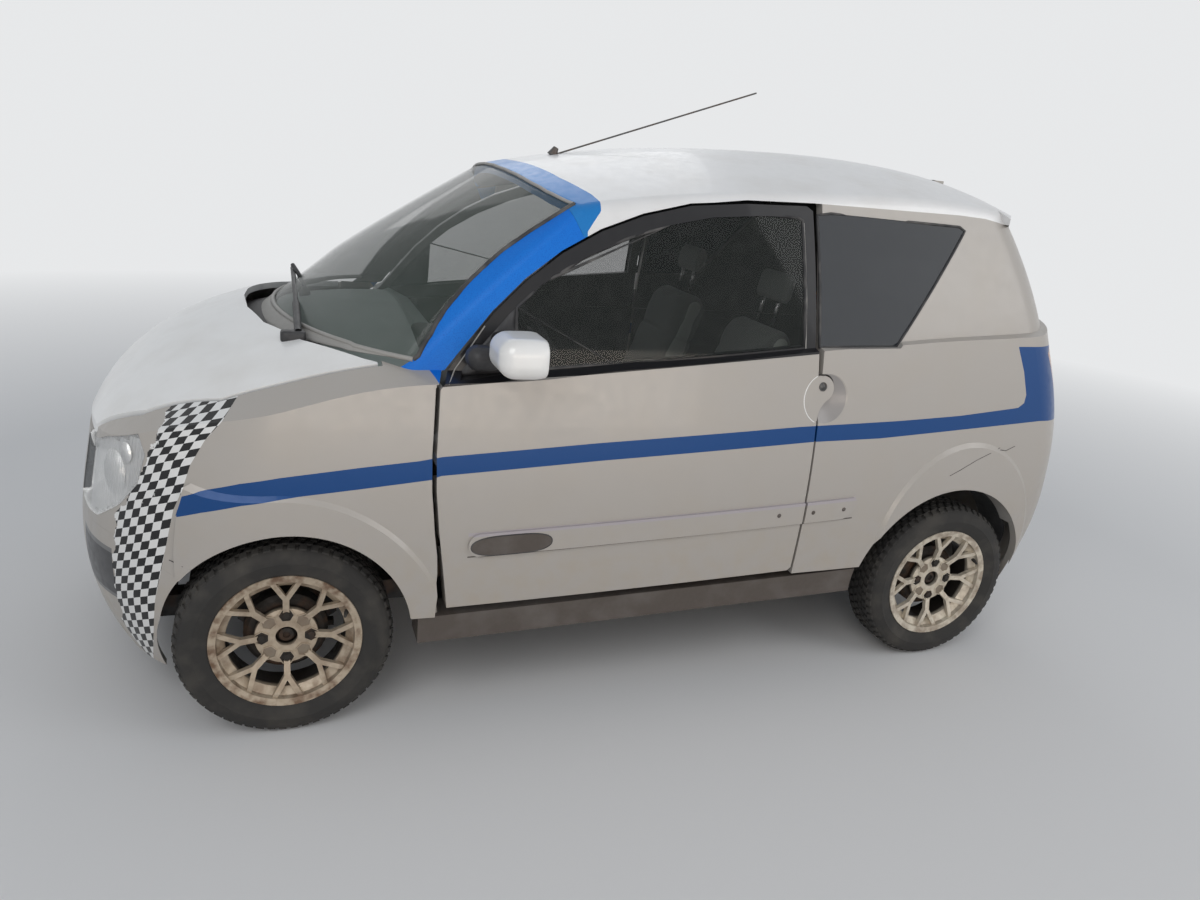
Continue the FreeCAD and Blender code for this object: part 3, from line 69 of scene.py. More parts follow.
class Nodes:
    """Short calls for the nodes of one material."""

    def __init__(self, material):
        self.tree = material.node_tree
        self.shader = self.tree.nodes["Principled BSDF"]

    def make(self, kind, **settings):
        node = self.tree.nodes.new(kind)
        for key, value in settings.items():
            setattr(node, key, value)
        return node

    def link(self, source, target):
        self.tree.links.new(source, target)

    def put(self, socket, value):
        if isinstance(value, bpy.types.NodeSocket):
            self.link(value, socket)
        else:
            socket.default_value = value

    def position(self):
        return self.make("ShaderNodeTexCoord").outputs["Object"]

    def axes(self):
        split = self.make("ShaderNodeSeparateXYZ")
        self.link(self.position(), split.inputs[0])
        return split.outputs[0], split.outputs[1], split.outputs[2]

    def math(self, operation, a, b=0.0, c=0.0):
        node = self.make("ShaderNodeMath", operation=operation)
        for socket, value in zip(node.inputs, (a, b, c)):
            self.put(socket, value)
        return node.outputs[0]

    def all_of(self, *masks):
        result = masks[0]
        for mask in masks[1:]:
            result = self.math("MULTIPLY", result, mask)
        return result

    def above(self, value, limit):
        return self.math("GREATER_THAN", value, limit)

    def below(self, value, limit):
        return self.math("LESS_THAN", value, limit)

    def far_from(self, a, b, centre, radius):
        """1 where the point (a, b) lies outside a circle."""
        da = self.math("SUBTRACT", a, centre[0])
        db = self.math("SUBTRACT", b, centre[1])
        span = self.math("ADD", self.math("MULTIPLY", da, da), self.math("MULTIPLY", db, db))
        return self.above(span, radius ** 2)

    def noise(self, scale, detail=3.0, vector=None):
        node = self.make("ShaderNodeTexNoise")
        node.inputs["Scale"].default_value = scale
        node.inputs["Detail"].default_value = detail
        self.link(vector or self.position(), node.inputs["Vector"])
        return node.outputs["Fac"]

    def cells(self, scale):
        node = self.make("ShaderNodeTexVoronoi", feature="DISTANCE_TO_EDGE")
        node.inputs["Scale"].default_value = scale
        self.link(self.position(), node.inputs["Vector"])
        return node.outputs["Distance"]

    def wave(self, scale, axis="X", distortion=0.0):
        node = self.make("ShaderNodeTexWave", bands_direction=axis)
        node.inputs["Scale"].default_value = scale
        node.inputs["Distortion"].default_value = distortion
        self.link(self.position(), node.inputs["Vector"])
        return node.outputs["Fac"]

    def ramp(self, value, low, high, to_low=0.0, to_high=1.0):
        node = self.make("ShaderNodeMapRange")
        node.clamp = True
        limits = {"From Min": low, "From Max": high, "To Min": to_low, "To Max": to_high}
        for key, number in limits.items():
            node.inputs[key].default_value = number
        self.link(value, node.inputs["Value"])
        return node.outputs["Result"]

    def curve(self, value, points):
        """A piecewise line through (value, result) points."""
        low = points[0][0]
        high = points[-1][0]
        node = self.make("ShaderNodeFloatCurve")
        line = node.mapping.curves[0]
        scaled = [((x - low) / (high - low), y) for x, y in points]
        while len(line.points) < len(scaled):
            line.points.new(0.5, 0.5)
        for point, (x, y) in zip(line.points, scaled):
            point.location = (x, y)
            point.handle_type = "VECTOR"
        node.mapping.extend = "HORIZONTAL"
        node.mapping.update()
        self.link(self.ramp(value, low, high), node.inputs["Value"])
        return node.outputs[0]

    def mix(self, factor, a, b):
        node = self.make("ShaderNodeMix", data_type="RGBA")
        self.put(node.inputs[0], factor)
        for socket, value in ((node.inputs[6], a), (node.inputs[7], b)):
            self.put(socket, (*value, 1.0) if isinstance(value, tuple) else value)
        return node.outputs[2]

    def bump(self, height, strength, distance=0.001):
        node = self.make("ShaderNodeBump")
        node.inputs["Strength"].default_value = strength
        node.inputs["Distance"].default_value = distance
        self.link(height, node.inputs["Height"])
        self.link(node.outputs["Normal"], self.shader.inputs["Normal"])

    def colour(self, value):
        self.link(value, self.shader.inputs["Base Color"])

    def roughness(self, value):
        self.link(value, self.shader.inputs["Roughness"])


def worn(n, clean, dirty, scale=9.0, amount=0.25):
    """A colour broken by faint dust."""
    spots = n.ramp(n.noise(scale, 6.0), 0.45, 0.75, 0.0, amount)
    return n.mix(spots, clean, dirty)


# Paint and foil

SILVER = (0.405, 0.380, 0.352)
# The bonnet, roof and mirror shells wear the same silver paint as the sides; their near-white is painted
# sunlight.
SILVER_PAINTED_SUNLIT = (0.80, 0.80, 0.79)
ROOF_SILVER_PAINTED_SUNLIT = (0.76, 0.76, 0.76)
DUST = (0.40, 0.35, 0.28)
STRIPE_BLUE = (0.001, 0.052, 0.200)
FOIL_BLUE = (0.002, 0.135, 0.580)
FOIL_LIGHT = (0.010, 0.250, 0.800)
FOIL_CELLS = 230.0
HEADER_TINT = (0.005, 0.200, 0.400)
# Painted reflection of the sky on the rub strip's top bevel, and painted shadow beneath the strip.
BEVEL_PAINTED_REFLECTION = (0.40, 0.37, 0.39)
STRIP_PAINTED_SHADOW = (0.10, 0.09, 0.08)
PAD_BLACK = (0.055, 0.055, 0.058)
PAD_EDGE_GREY = (0.16, 0.16, 0.16)
# Painted shade in the handle's recess.
DISH_PAINTED_SHADE = (0.16, 0.16, 0.18)
SATIN_BLACK = (0.012, 0.012, 0.014)
# Side-view lines of the decoration: (x, z) of the stripe's two edges.
STRIPE_LOW = ((-1.20, 0.582), (-1.128, 0.606), (-1.044, 0.628), (-0.960, 0.641), (-0.785, 0.660),
              (-0.620, 0.679), (-0.602, 0.688), (-0.202, 0.717), (0.419, 0.752), (0.643, 0.756),
              (0.932, 0.773), (1.251, 0.791), (1.50, 0.782))
STRIPE_HIGH = ((-1.20, 0.628), (-1.165, 0.639), (-1.126, 0.655), (-1.043, 0.677), (-0.959, 0.691),
               (-0.785, 0.712), (-0.649, 0.726), (-0.596, 0.735), (-0.205, 0.763), (0.371, 0.795),
               (0.705, 0.805), (0.924, 0.815), (1.150, 0.834), (1.50, 0.880))
STRIPE_START = ((0.55, -1.205), (0.585, -1.182), (0.639, -1.165), (0.70, -1.150))
# The block on the rear corner: (z, x) of its front edge, with a rounded lower corner.
BLOCK_FRONT = ((0.820, 1.130), (0.834, 1.150), (0.848, 1.172), (0.873, 1.176), (0.942, 1.155), (1.013, 1.123))
BLOCK_TOP = 1.016
BLOCK_INNER_Y = 0.508
BLOCK_AHEAD_X = 1.10
# A curve node gives results from 0 to 1, so places are shifted into that range.
STRIPE_SHIFT = 2.0
BLOCK_SHIFT = 1.0
CHECKER_SHIFT = 1.5
HEADER_SHIFT = 1.0
# The checkered foil: (z, x, y) of its rear edge, (z, x) of its front edge, and its squares.
CHECKER_REAR = ((0.15, -1.262, -0.600), (0.363, -1.238, -0.626), (0.501, -1.207, -0.650),
                (0.601, -1.185, -0.656), (0.651, -1.164, -0.662), (0.710, -1.145, -0.664),
                (0.770, -1.112, -0.671), (0.847, -1.049, -0.621), (0.90, -1.000, -0.590))
CHECKER_FRONT = ((0.15, -1.325), (0.321, -1.329), (0.407, -1.333), (0.551, -1.316), (0.597, -1.287),
                 (0.675, -1.250), (0.794, -1.198), (0.90, -1.150))
CHECKER_SIZE = 0.0232
CHECKER_TOP_Y = -0.505
CHECKER_SHEAR = 0.40
# Keeps the count of squares positive and off their edges.
CHECKER_COUNT_FROM = 20.01
CHECKER_BLACK = (0.012, 0.012, 0.013)
CHECKER_WHITE = (0.72, 0.72, 0.71)
# The foil is rubbed pale beside the lamp and ragged at its front edge.
RUBBED_WHITE = (0.66, 0.66, 0.65)
RUBBED_BEHIND_X = -1.21
RUBBED_ABOVE_Z = 0.60
RAGGED_DEPTH = 0.034
CORNER_CENTRE = (-1.015, -0.300)
CORNER_RADIUS = 0.425
# The rear edge of the header's foil: (distance from the middle, x).
HEADER_REAR = ((0.0, -0.293), (0.075, -0.288), (0.234, -0.267), (0.362, -0.247), (0.455, -0.221),
               (0.506, -0.206), (0.552, -0.199), (0.574, -0.202), (0.589, -0.237))
# The door's black window frame starts above this line: (x, z).
FRAME_LINE = ((-0.62, 0.898), (-0.44, 0.914), (0.43, 0.992))
# The wing's rounded upper corner, with the pillar's foil beyond it: (x, z).
WING_CORNER = (-0.668, 0.873)
WING_CORNER_RADIUS = 0.070
PAD_HEIGHTS = (0.328, 0.462)
PAD_INNER_Y = 0.360
PAD_OUTER_Y = 0.540
STRIP_LOW = ((-0.55, 0.4719), (0.62, 0.5210))
STRIP_HEIGHT = 0.063
STRIP_ENDS = (-0.526, 0.594)
HANDLE_MIDDLE = (0.446, 0.870)
HANDLE_RADIUS = 0.070
DISH_FRONT_X = 0.36


def stripe_zone(n, at, base):
    """The blue stripe and the blue block of the rear corner, on both sides."""
    x, y, z = at
    band = n.all_of(n.above(z, n.curve(x, STRIPE_LOW)), n.below(z, n.curve(x, STRIPE_HIGH)),
                    n.above(n.math("ADD", x, STRIPE_SHIFT),
                            n.curve(z, [(a, b + STRIPE_SHIFT) for a, b in STRIPE_START])))
    front = n.curve(z, [(a, b - BLOCK_SHIFT) for a, b in BLOCK_FRONT])
    block = n.all_of(n.above(n.math("SUBTRACT", x, BLOCK_SHIFT), front), n.below(z, BLOCK_TOP),
                     n.above(z, n.curve(x, STRIPE_LOW)), n.above(n.math("ABSOLUTE", y), BLOCK_INNER_Y),
                     n.above(x, BLOCK_AHEAD_X))
    return n.mix(n.math("MAXIMUM", band, block), base, STRIPE_BLUE)


def corner_arc(x, y):
    """How far round the nose corner a point lies, as an arc length."""
    return CORNER_RADIUS * math.atan2(CORNER_CENTRE[1] - y, CORNER_CENTRE[0] - x)


def edge_lengths():
    """(z, length from the bottom) along the foil's rear edge."""
    total = 0.0
    rows = [(CHECKER_REAR[0][0], total)]
    for low, high in zip(CHECKER_REAR, CHECKER_REAR[1:]):
        total += math.dist(low, high)
        rows.append((high[0], total))
    return rows


def checker_zone(n, at, base):
    """The checkered foil on the left side of the nose."""
    x, y, z = at
    turn = n.math("ARCTAN2", n.math("SUBTRACT", CORNER_CENTRE[1], y), n.math("SUBTRACT", CORNER_CENTRE[0], x))
    around = n.math("MULTIPLY", turn, CORNER_RADIUS)
    rear = n.curve(z, [(a, b + CHECKER_SHIFT) for a, b, _ in CHECKER_REAR])
    front = n.curve(z, [(a, b + CHECKER_SHIFT) for a, b in CHECKER_FRONT])
    shifted = n.math("ADD", x, CHECKER_SHIFT)
    u = n.math("SUBTRACT", n.curve(z, [(a, corner_arc(b, c)) for a, b, c in CHECKER_REAR]), around)
    v = n.math("ADD", n.curve(z, edge_lengths()), n.math("MULTIPLY", u, CHECKER_SHEAR))
    check = n.make("ShaderNodeTexChecker")
    check.inputs["Scale"].default_value = 1.0
    both = n.make("ShaderNodeCombineXYZ")
    for socket, length in zip(both.inputs, (u, v)):
        n.put(socket, n.math("ADD", n.math("DIVIDE", length, CHECKER_SIZE), CHECKER_COUNT_FROM))
    n.put(both.inputs[2], 0.5)
    n.link(both.outputs[0], check.inputs["Vector"])
    squares = n.mix(check.outputs["Fac"], CHECKER_BLACK, CHECKER_WHITE)
    rubbed = n.ramp(n.noise(38.0, 5.0), 0.60, 0.66)
    near_lamp = n.all_of(n.below(shifted, RUBBED_BEHIND_X + CHECKER_SHIFT), n.above(z, RUBBED_ABOVE_Z))
    squares = n.mix(n.all_of(rubbed, near_lamp), squares, RUBBED_WHITE)
    ragged = n.math("MULTIPLY", n.math("SUBTRACT", n.noise(45.0, 5.0), 0.5), RAGGED_DEPTH)
    within = n.all_of(n.below(shifted, rear), n.above(n.math("ADD", shifted, ragged), front),
                      n.below(y, CHECKER_TOP_Y))
    return n.mix(within, base, squares)


def foil_colour(n):
    """The fine honeycomb of the blue foil."""
    grain = n.ramp(n.cells(FOIL_CELLS), 0.02, 0.35)
    light = n.ramp(n.noise(3.0, 2.0), 0.35, 0.65, 0.10, 0.45)
    return n.mix(grain, n.mix(light, FOIL_BLUE, FOIL_LIGHT), FOIL_BLUE)


def header_zone(n, at, base):
    """The band of blue foil along the roof's front edge."""
    x, y, z = at
    reach = n.curve(n.math("ABSOLUTE", y), [(a, b + HEADER_SHIFT) for a, b in HEADER_REAR])
    band = n.below(n.math("ADD", x, HEADER_SHIFT), reach)
    return n.mix(band, base, n.mix(0.5, foil_colour(n), HEADER_TINT))


def wing_corner_zone(n, at, base):
    """The foil that shows past the wing's rounded upper corner."""
    x, y, z = at
    past = n.all_of(n.above(x, WING_CORNER[0]), n.above(z, WING_CORNER[1]),
                    n.far_from(x, z, WING_CORNER, WING_CORNER_RADIUS))
    return n.mix(past, base, foil_colour(n))


def door_frame_zone(n, at, base):
    """The black frame round the door's window."""
    x, y, z = at
    return n.mix(n.above(z, n.curve(x, FRAME_LINE)), base, SATIN_BLACK)


def strip_zone(n, at, base):
    """The rub strip's upper bevel tinted grey-purple as a painted reflection of the sky, and a dark line
    beneath it as painted shadow.
    """
    x, y, z = at
    rise = n.math("SUBTRACT", z, n.curve(x, STRIP_LOW))
    along = n.all_of(n.above(x, STRIP_ENDS[0]), n.below(x, STRIP_ENDS[1]))
    # The top bevel: painted reflection.
    bevel = n.all_of(along, n.above(rise, STRIP_HEIGHT - 0.008), n.below(rise, STRIP_HEIGHT + 0.001))
    # The line beneath the strip: painted shadow.
    painted_shadow = n.all_of(along, n.above(rise, -0.0035), n.below(rise, 0.0005))
    return n.mix(painted_shadow, n.mix(bevel, base, BEVEL_PAINTED_REFLECTION), STRIP_PAINTED_SHADOW)


def insert_zone(n, at, base):
    """The dark pads let into the bumper's corners."""
    x, y, z = at
    across = n.math("ABSOLUTE", y)
    pad = n.all_of(n.above(z, PAD_HEIGHTS[0]), n.below(z, PAD_HEIGHTS[1]), n.above(across, PAD_INNER_Y),
                   n.below(across, PAD_OUTER_Y))
    edge = n.all_of(n.below(z, PAD_HEIGHTS[1] - 0.012), n.above(z, PAD_HEIGHTS[0] + 0.010))
    return n.mix(pad, base, n.mix(edge, PAD_EDGE_GREY, PAD_BLACK))


def dish_zone(n, at, base):
    """Painted shade in the rear part of the recess behind the door's handle."""
    x, y, z = at
    outside = n.far_from(x, z, HANDLE_MIDDLE, HANDLE_RADIUS - 0.003)
    near = n.all_of(n.above(x, DISH_FRONT_X), n.math("SUBTRACT", 1.0, outside))
    return n.mix(n.math("MULTIPLY", near, 0.45), base, DISH_PAINTED_SHADE)


def paint_material(name, colour, zones=()):
    material = new_material(name, colour, 0.36, metallic=0.12, coat=0.18)
    n = Nodes(material)
    n.shader.inputs["Specular IOR Level"].default_value = 0.30
    at = n.axes()
    base = worn(n, colour, DUST, 7.0, 0.16)
    low = n.all_of(n.ramp(at[2], 0.62, 0.22, 0.0, 0.75), n.ramp(n.noise(22.0, 6.0), 0.42, 0.70))
    base = n.mix(low, base, DUST)
    for zone in zones:
        base = zone(n, at, base)
    n.colour(base)
    n.roughness(n.ramp(n.noise(40.0, 4.0), 0.3, 0.7, 0.28, 0.42))
    n.bump(n.noise(900.0, 1.0), 0.04, 0.0004)
    return material


def foil_material(name):
    material = new_material(name, FOIL_BLUE, 0.45)
    material.node_tree.nodes["Principled BSDF"].inputs["Specular IOR Level"].default_value = 0.25
    n = Nodes(material)
    n.colour(foil_colour(n))
    n.bump(n.cells(FOIL_CELLS), 0.30, 0.0006)
    return material


# Other materials

def plastic_material(name, colour, roughness=0.55, grain=1400.0):
    material = new_material(name, colour, roughness)
    n = Nodes(material)
    n.colour(worn(n, colour, tuple(min(1.0, c + 0.10) for c in colour), 12.0, 0.35))
    n.roughness(n.ramp(n.noise(90.0, 4.0), 0.3, 0.7, roughness - 0.08, min(1.0, roughness + 0.10)))
    n.bump(n.noise(grain, 2.0), 0.25, 0.0004)
    return material


DASH_GREY = (0.46, 0.53, 0.49)
# The deck turns from the black scuttle to the grey dashboard top at the windscreen's foot.
DECK_EDGE_X = -0.950
DECK_EDGE_BOW = 0.667


def cowl_material(name):
    """Black plastic ahead of the windscreen and grey behind it."""
    material = new_material(name, (0.02, 0.02, 0.022), 0.6)
    n = Nodes(material)
    x, y, z = n.axes()
    edge = n.math("ADD", n.math("MULTIPLY", n.math("MULTIPLY", y, y), DECK_EDGE_BOW), DECK_EDGE_X)
    n.colour(n.mix(n.math("GREATER_THAN", x, edge), worn(n, (0.014, 0.014, 0.016), (0.08, 0.07, 0.06)),
                   worn(n, DASH_GREY, (0.30, 0.31, 0.28))))
    n.bump(n.noise(700.0, 2.0), 0.25, 0.0004)
    return material


def metal_material(name, colour, roughness, metallic=0.9, rust=0.6):
    material = new_material(name, colour, roughness, metallic)
    n = Nodes(material)
    n.colour(worn(n, colour, (0.14, 0.07, 0.035), 25.0, rust))
    n.roughness(n.ramp(n.noise(60.0, 4.0), 0.3, 0.7, roughness - 0.1, roughness + 0.2))
    n.bump(n.noise(500.0, 3.0), 0.3, 0.0005)
    return material


TYRE_RADIUS = 0.256
RIM_FACE_Y = 0.657
RIM_BARREL_RADIUS = 0.166
# Near-black for the barrel behind the spokes: brake dust and painted shade.
BRAKE_DUST_AND_SHADE = (0.022, 0.018, 0.015)
RIM_BROWN = (0.110, 0.050, 0.022)


def alloy_material(name, colour, brown, wheel_x):
    """A lacquered wheel, browned towards its outer edge and the roots of its spokes."""
    material = new_material(name, colour, 0.42, 0.35)
    n = Nodes(material)
    x, y, z = n.axes()
    dx = n.math("SUBTRACT", x, wheel_x)
    dz = n.math("SUBTRACT", z, TYRE_RADIUS)
    radius = n.math("SQRT", n.math("ADD", n.math("MULTIPLY", dx, dx), n.math("MULTIPLY", dz, dz)))
    edge = n.ramp(radius, 0.120, 0.172, 0.0, 1.0)
    spots = n.ramp(n.noise(34.0, 8.0), 0.43, 0.62)
    rust = n.all_of(n.math("MAXIMUM", edge, 0.35), spots)
    face = n.mix(n.math("MULTIPLY", rust, brown), worn(n, colour, (0.30, 0.24, 0.17), 60.0, 0.6),
                 RIM_BROWN)
    # The barrel behind the spokes is black: brake dust, and painted shade in the wheel's hollow.
    outside = n.ramp(n.math("ABSOLUTE", y), RIM_FACE_Y - 0.012, RIM_FACE_Y - 0.002)
    n.colour(n.mix(n.math("MAXIMUM", outside, n.above(radius, RIM_BARREL_RADIUS)), BRAKE_DUST_AND_SHADE, face))
    n.roughness(n.ramp(n.noise(80.0, 4.0), 0.3, 0.7, 0.34, 0.62))
    n.bump(n.noise(420.0, 4.0), 0.35, 0.0005)
    return material


def rubber_material(name, colour):
    material = new_material(name, colour, 0.82)
    n = Nodes(material)
    n.colour(n.mix(n.ramp(n.noise(14.0, 7.0), 0.45, 0.75, 0.0, 0.55), colour, (0.075, 0.068, 0.058)))
    n.bump(n.noise(700.0, 3.0), 0.35, 0.0005)
    return material


def glass_material(name, colour, alpha, roughness=0.03, dust=0.20, gloss=0.5):
    material = new_material(name, colour, roughness)
    shader = material.node_tree.nodes["Principled BSDF"]
    shader.inputs["Alpha"].default_value = alpha
    shader.inputs["Specular IOR Level"].default_value = gloss
    n = Nodes(material)
    n.colour(worn(n, colour, tuple(min(1.0, c + dust) for c in colour), 30.0, 0.30))
    n.roughness(n.ramp(n.noise(18.0, 5.0), 0.4, 0.8, roughness, roughness + 0.06))
    return material


AMBER_ABOVE_Z = 0.955
CLEAR_HEIGHTS = (0.858, 0.888)
LAMP_AMBER = (0.55, 0.17, 0.01)
LAMP_RED = (0.330, 0.008, 0.008)
LAMP_CLEAR = (0.50, 0.50, 0.50)
LAMP_RIBS = 130.0


def tail_lamp_material(name):
    """Ribbed plastic: amber at the top and red below it, with a clear band in the red, and painted shade in
    the troughs between the ribs.
    """
    material = new_material(name, (0.35, 0.01, 0.01), 0.12, coat=0.6)
    n = Nodes(material)
    x, y, z = n.axes()
    bands = n.mix(n.above(z, AMBER_ABOVE_Z), LAMP_RED, LAMP_AMBER)
    clear = n.all_of(n.below(z, CLEAR_HEIGHTS[1]), n.above(z, CLEAR_HEIGHTS[0]))
    bands = n.mix(clear, bands, LAMP_CLEAR)
    # Darker in the troughs between the ribs: painted shade.
    n.colour(n.mix(n.ramp(n.wave(LAMP_RIBS, "Z"), 0.0, 0.35), n.mix(0.5, bands, (0.02, 0.0, 0.0)), bands))
    n.bump(n.wave(LAMP_RIBS, "Z"), 0.5, 0.001)
    return material


def cloth_material(name, colour, stripe):
    """Woven seat cloth with a fine rib."""
    material = new_material(name, colour, 0.92)
    material.node_tree.nodes["Principled BSDF"].inputs["Sheen Weight"].default_value = 0.25
    n = Nodes(material)
    weave = n.math("MULTIPLY", n.wave(520.0, "Y"), n.wave(520.0, "Z"))
    blotch = n.ramp(n.noise(9.0, 5.0), 0.4, 0.7, 0.0, 0.35)
    n.colour(n.mix(blotch, n.mix(n.ramp(weave, 0.1, 0.6), stripe, colour), tuple(c * 0.72 for c in colour)))
    n.bump(weave, 0.5, 0.0008)
    return material


def seal_material(name):
    """Black rubber, weathered pale."""
    material = new_material(name, (0.018, 0.018, 0.020), 0.6)
    n = Nodes(material)
    n.colour(worn(n, (0.018, 0.018, 0.020), (0.20, 0.19, 0.18), 16.0, 0.5))
    n.bump(n.noise(600.0, 3.0), 0.3, 0.0004)
    return material


def lens_rib_material(name):
    """A silvered reflector seen through the lens's upright ribs."""
    material = new_material(name, (0.66, 0.68, 0.70), 0.16, 0.85)
    n = Nodes(material)
    n.colour(n.mix(n.ramp(n.noise(12.0, 3.0), 0.35, 0.7), (0.90, 0.90, 0.89), (0.60, 0.60, 0.59)))
    n.bump(n.wave(95.0, "Y", 1.2), 0.6, 0.0015)
    return material


MATERIALS = {
    "paint": paint_material("silver_paint", SILVER, (stripe_zone, checker_zone, wing_corner_zone)),
    "paint_door": paint_material("door_paint", SILVER, (stripe_zone, strip_zone, door_frame_zone)),
    "paint_quarter": paint_material("quarter_paint", SILVER, (stripe_zone, strip_zone, dish_zone)),
    "paint_bumper": paint_material("bumper_paint", SILVER, (insert_zone, checker_zone)),
    "paint_plain": paint_material("plain_paint", SILVER),
    # The next two near-white paints are painted sunlight on the silver paint.
    "paint_white": paint_material("painted_sunlit_paint", SILVER_PAINTED_SUNLIT),
    "paint_roof": paint_material("roof_paint", ROOF_SILVER_PAINTED_SUNLIT, (header_zone,)),
    "blue_foil": foil_material("blue_foil"),
    "dark_plastic": plastic_material("dark_plastic", (0.020, 0.020, 0.022)),
    "grey_plastic": plastic_material("grey_plastic", (0.072, 0.059, 0.050)),
    "dash_grey": plastic_material("dash_grey", DASH_GREY, 0.7, 700.0),
    "cowl": cowl_material("cowl"),
    "trim_grey": plastic_material("trim_grey", (0.060, 0.060, 0.056), 0.75, 600.0),
    "carpet": plastic_material("carpet", (0.035, 0.034, 0.033), 0.95, 900.0),
    "frame_steel": metal_material("frame_steel", (0.03, 0.03, 0.03), 0.55, 0.3),
    "engine_iron": metal_material("engine_iron", (0.12, 0.12, 0.12), 0.6),
    "exhaust_steel": metal_material("exhaust_steel", (0.30, 0.27, 0.24), 0.45),
    "chrome": metal_material("chrome", (0.55, 0.55, 0.55), 0.22, 1.0, 0.25),
    "glass": glass_material("glass", (0.020, 0.024, 0.022), 0.30, 0.02, 0.05, 0.4),
    "screen_glass": glass_material("screen_glass", (0.060, 0.080, 0.068), 0.36, 0.04, 0.12, 0.4),
    "tinted_glass": glass_material("tinted_glass", (0.004, 0.008, 0.014), 0.95, 0.02, 0.010, 0.35),
    "lamp_clear": glass_material("lamp_clear", (0.74, 0.75, 0.75), 0.16, 0.04, 0.10),
    "lamp_rib": glass_material("lamp_rib", (0.80, 0.81, 0.81), 0.40, 0.08, 0.05),
    "lamp_red": tail_lamp_material("lamp_red"),
    "reflector": lens_rib_material("reflector"),
    "alloy": alloy_material("alloy", (0.46, 0.385, 0.295), 0.85, -0.95),
    "alloy_rear": alloy_material("alloy_rear", (0.62, 0.565, 0.47), 0.50, 1.0),
    "rubber": rubber_material("rubber", (0.021, 0.020, 0.019)),
    "seal": seal_material("seal"),
    # Pale grey; on the windscreen seal's foot and header it is a painted highlight.
    "seal_pale": plastic_material("seal_pale", (0.33, 0.32, 0.30), 0.6),
    "iron": metal_material("iron", (0.030, 0.026, 0.023), 0.65, 0.5),
    "hub_grey": metal_material("hub_grey", (0.235, 0.195, 0.150), 0.5, 0.4, 0.5),
    "steel": metal_material("steel", (0.10, 0.10, 0.10), 0.4, 0.7),
    "seat_cloth": cloth_material("seat_cloth", (0.36, 0.38, 0.35), (0.25, 0.26, 0.24)),
    "seat_pale": cloth_material("seat_pale", (0.72, 0.76, 0.68), (0.60, 0.64, 0.57)),
}

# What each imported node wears, where it isn't its slot's own material.
NODE_MATERIAL = {
    "door_left": "paint_door", "door_right": "paint_door", "quarter_left": "paint_quarter",
    "quarter_right": "paint_quarter", "bumper_front": "paint_bumper", "bumper_rear": "paint_plain",
    "tailgate": "paint_plain", "roof": "paint_roof",
    "rim_rear_left": "alloy_rear", "rim_rear_right": "alloy_rear", "windscreen": "screen_glass",
    "floor_pan": "carpet", "dashboard": "dash_grey", "cowl": "cowl",
}
# The nodes whose inner faces are trimmed, with the direction that their outer faces look to.
TRIMMED = {
    "door_left": Vector((0, -1, 0)), "door_right": Vector((0, 1, 0)), "quarter_left": Vector((0, -1, 0)),
    "quarter_right": Vector((0, 1, 0)), "tailgate": Vector((1, 0, 0)), "roof": Vector((0, 0, 1)),
    "pillar_left": Vector((-0.5, -0.8, 0.3)), "pillar_right": Vector((-0.5, 0.8, 0.3)),
}
INWARDS = -0.35

for name, node in nodes.items():
    slot = slot_of_node[name]
    node.data.materials.clear()
    node.data.materials.append(MATERIALS[NODE_MATERIAL.get(name, slot)])
    if name in TRIMMED:
        node.data.materials.append(MATERIALS["trim_grey"])
        for face in node.data.polygons:
            face.material_index = 1 if face.normal.dot(TRIMMED[name]) < INWARDS else 0


# Mesh helpers

def dress(piece, name, body, slot, material=None, smooth=True):
    """Names a piece, gives it its material (its slot's own where no other is named) and hangs it on its body.
    """
    piece.name = name
    piece.data.materials.append(MATERIALS[material or slot])
    if piece.type == "MESH" and smooth:
        for face in piece.data.polygons:
            face.use_smooth = True
    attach(piece, body)
    return piece


def link_mesh(name, vertices, faces):
    mesh = bpy.data.meshes.new(name)
    mesh.from_pydata([tuple(v) for v in vertices], [], faces)
    mesh.update()
    piece = bpy.data.objects.new(name, mesh)
    bpy.context.scene.collection.objects.link(piece)
    return piece


def link_bmesh(name, work):
    mesh = bpy.data.meshes.new(name)
    bmesh.ops.recalc_face_normals(work, faces=work.faces)
    work.to_mesh(mesh)
    work.free()
    piece = bpy.data.objects.new(name, mesh)
    bpy.context.scene.collection.objects.link(piece)
    return piece


def dress_bmesh(work, name, body, slot, material=None, smooth=True):
    """Makes a piece of a mesh being made, and dresses it."""
    return dress(link_bmesh(name, work), name, body, slot, material, smooth)


def moved(x, y, z):
    """A matrix that moves and doesn't turn."""
    return Matrix.Translation(Vector((x, y, z)))


def add_wall(piece, thickness):
    """Gives a sheet its thickness, inwards."""
    wall = piece.modifiers.new("wall", "SOLIDIFY")
    wall.thickness = thickness
    wall.offset = -1.0


def sheet(name, grid):
    """A surface over rows of points, facing forwards."""
    columns = len(grid[0])
    faces = []
    for i in range(len(grid) - 1):
        for k in range(columns - 1):
            first = i * columns + k
            faces.append((first, first + columns, first + columns + 1, first + 1))
    return link_mesh(name, [v for row in grid for v in row], faces)


def add_block(work, matrix, size, bevel=0.0, segments=2):
    """A bevelled box of a given size, placed by a matrix, in a mesh being made."""
    made = bmesh.ops.create_cube(work, size=1.0)["verts"]
    bmesh.ops.scale(work, vec=Vector(size), verts=made)
    if bevel:
        edges = list({e for v in made for e in v.link_edges})
        made = bmesh.ops.bevel(work, geom=edges, offset=bevel, segments=segments, affect="EDGES",
                               profile=0.5)["verts"]
    bmesh.ops.transform(work, matrix=matrix, verts=made)


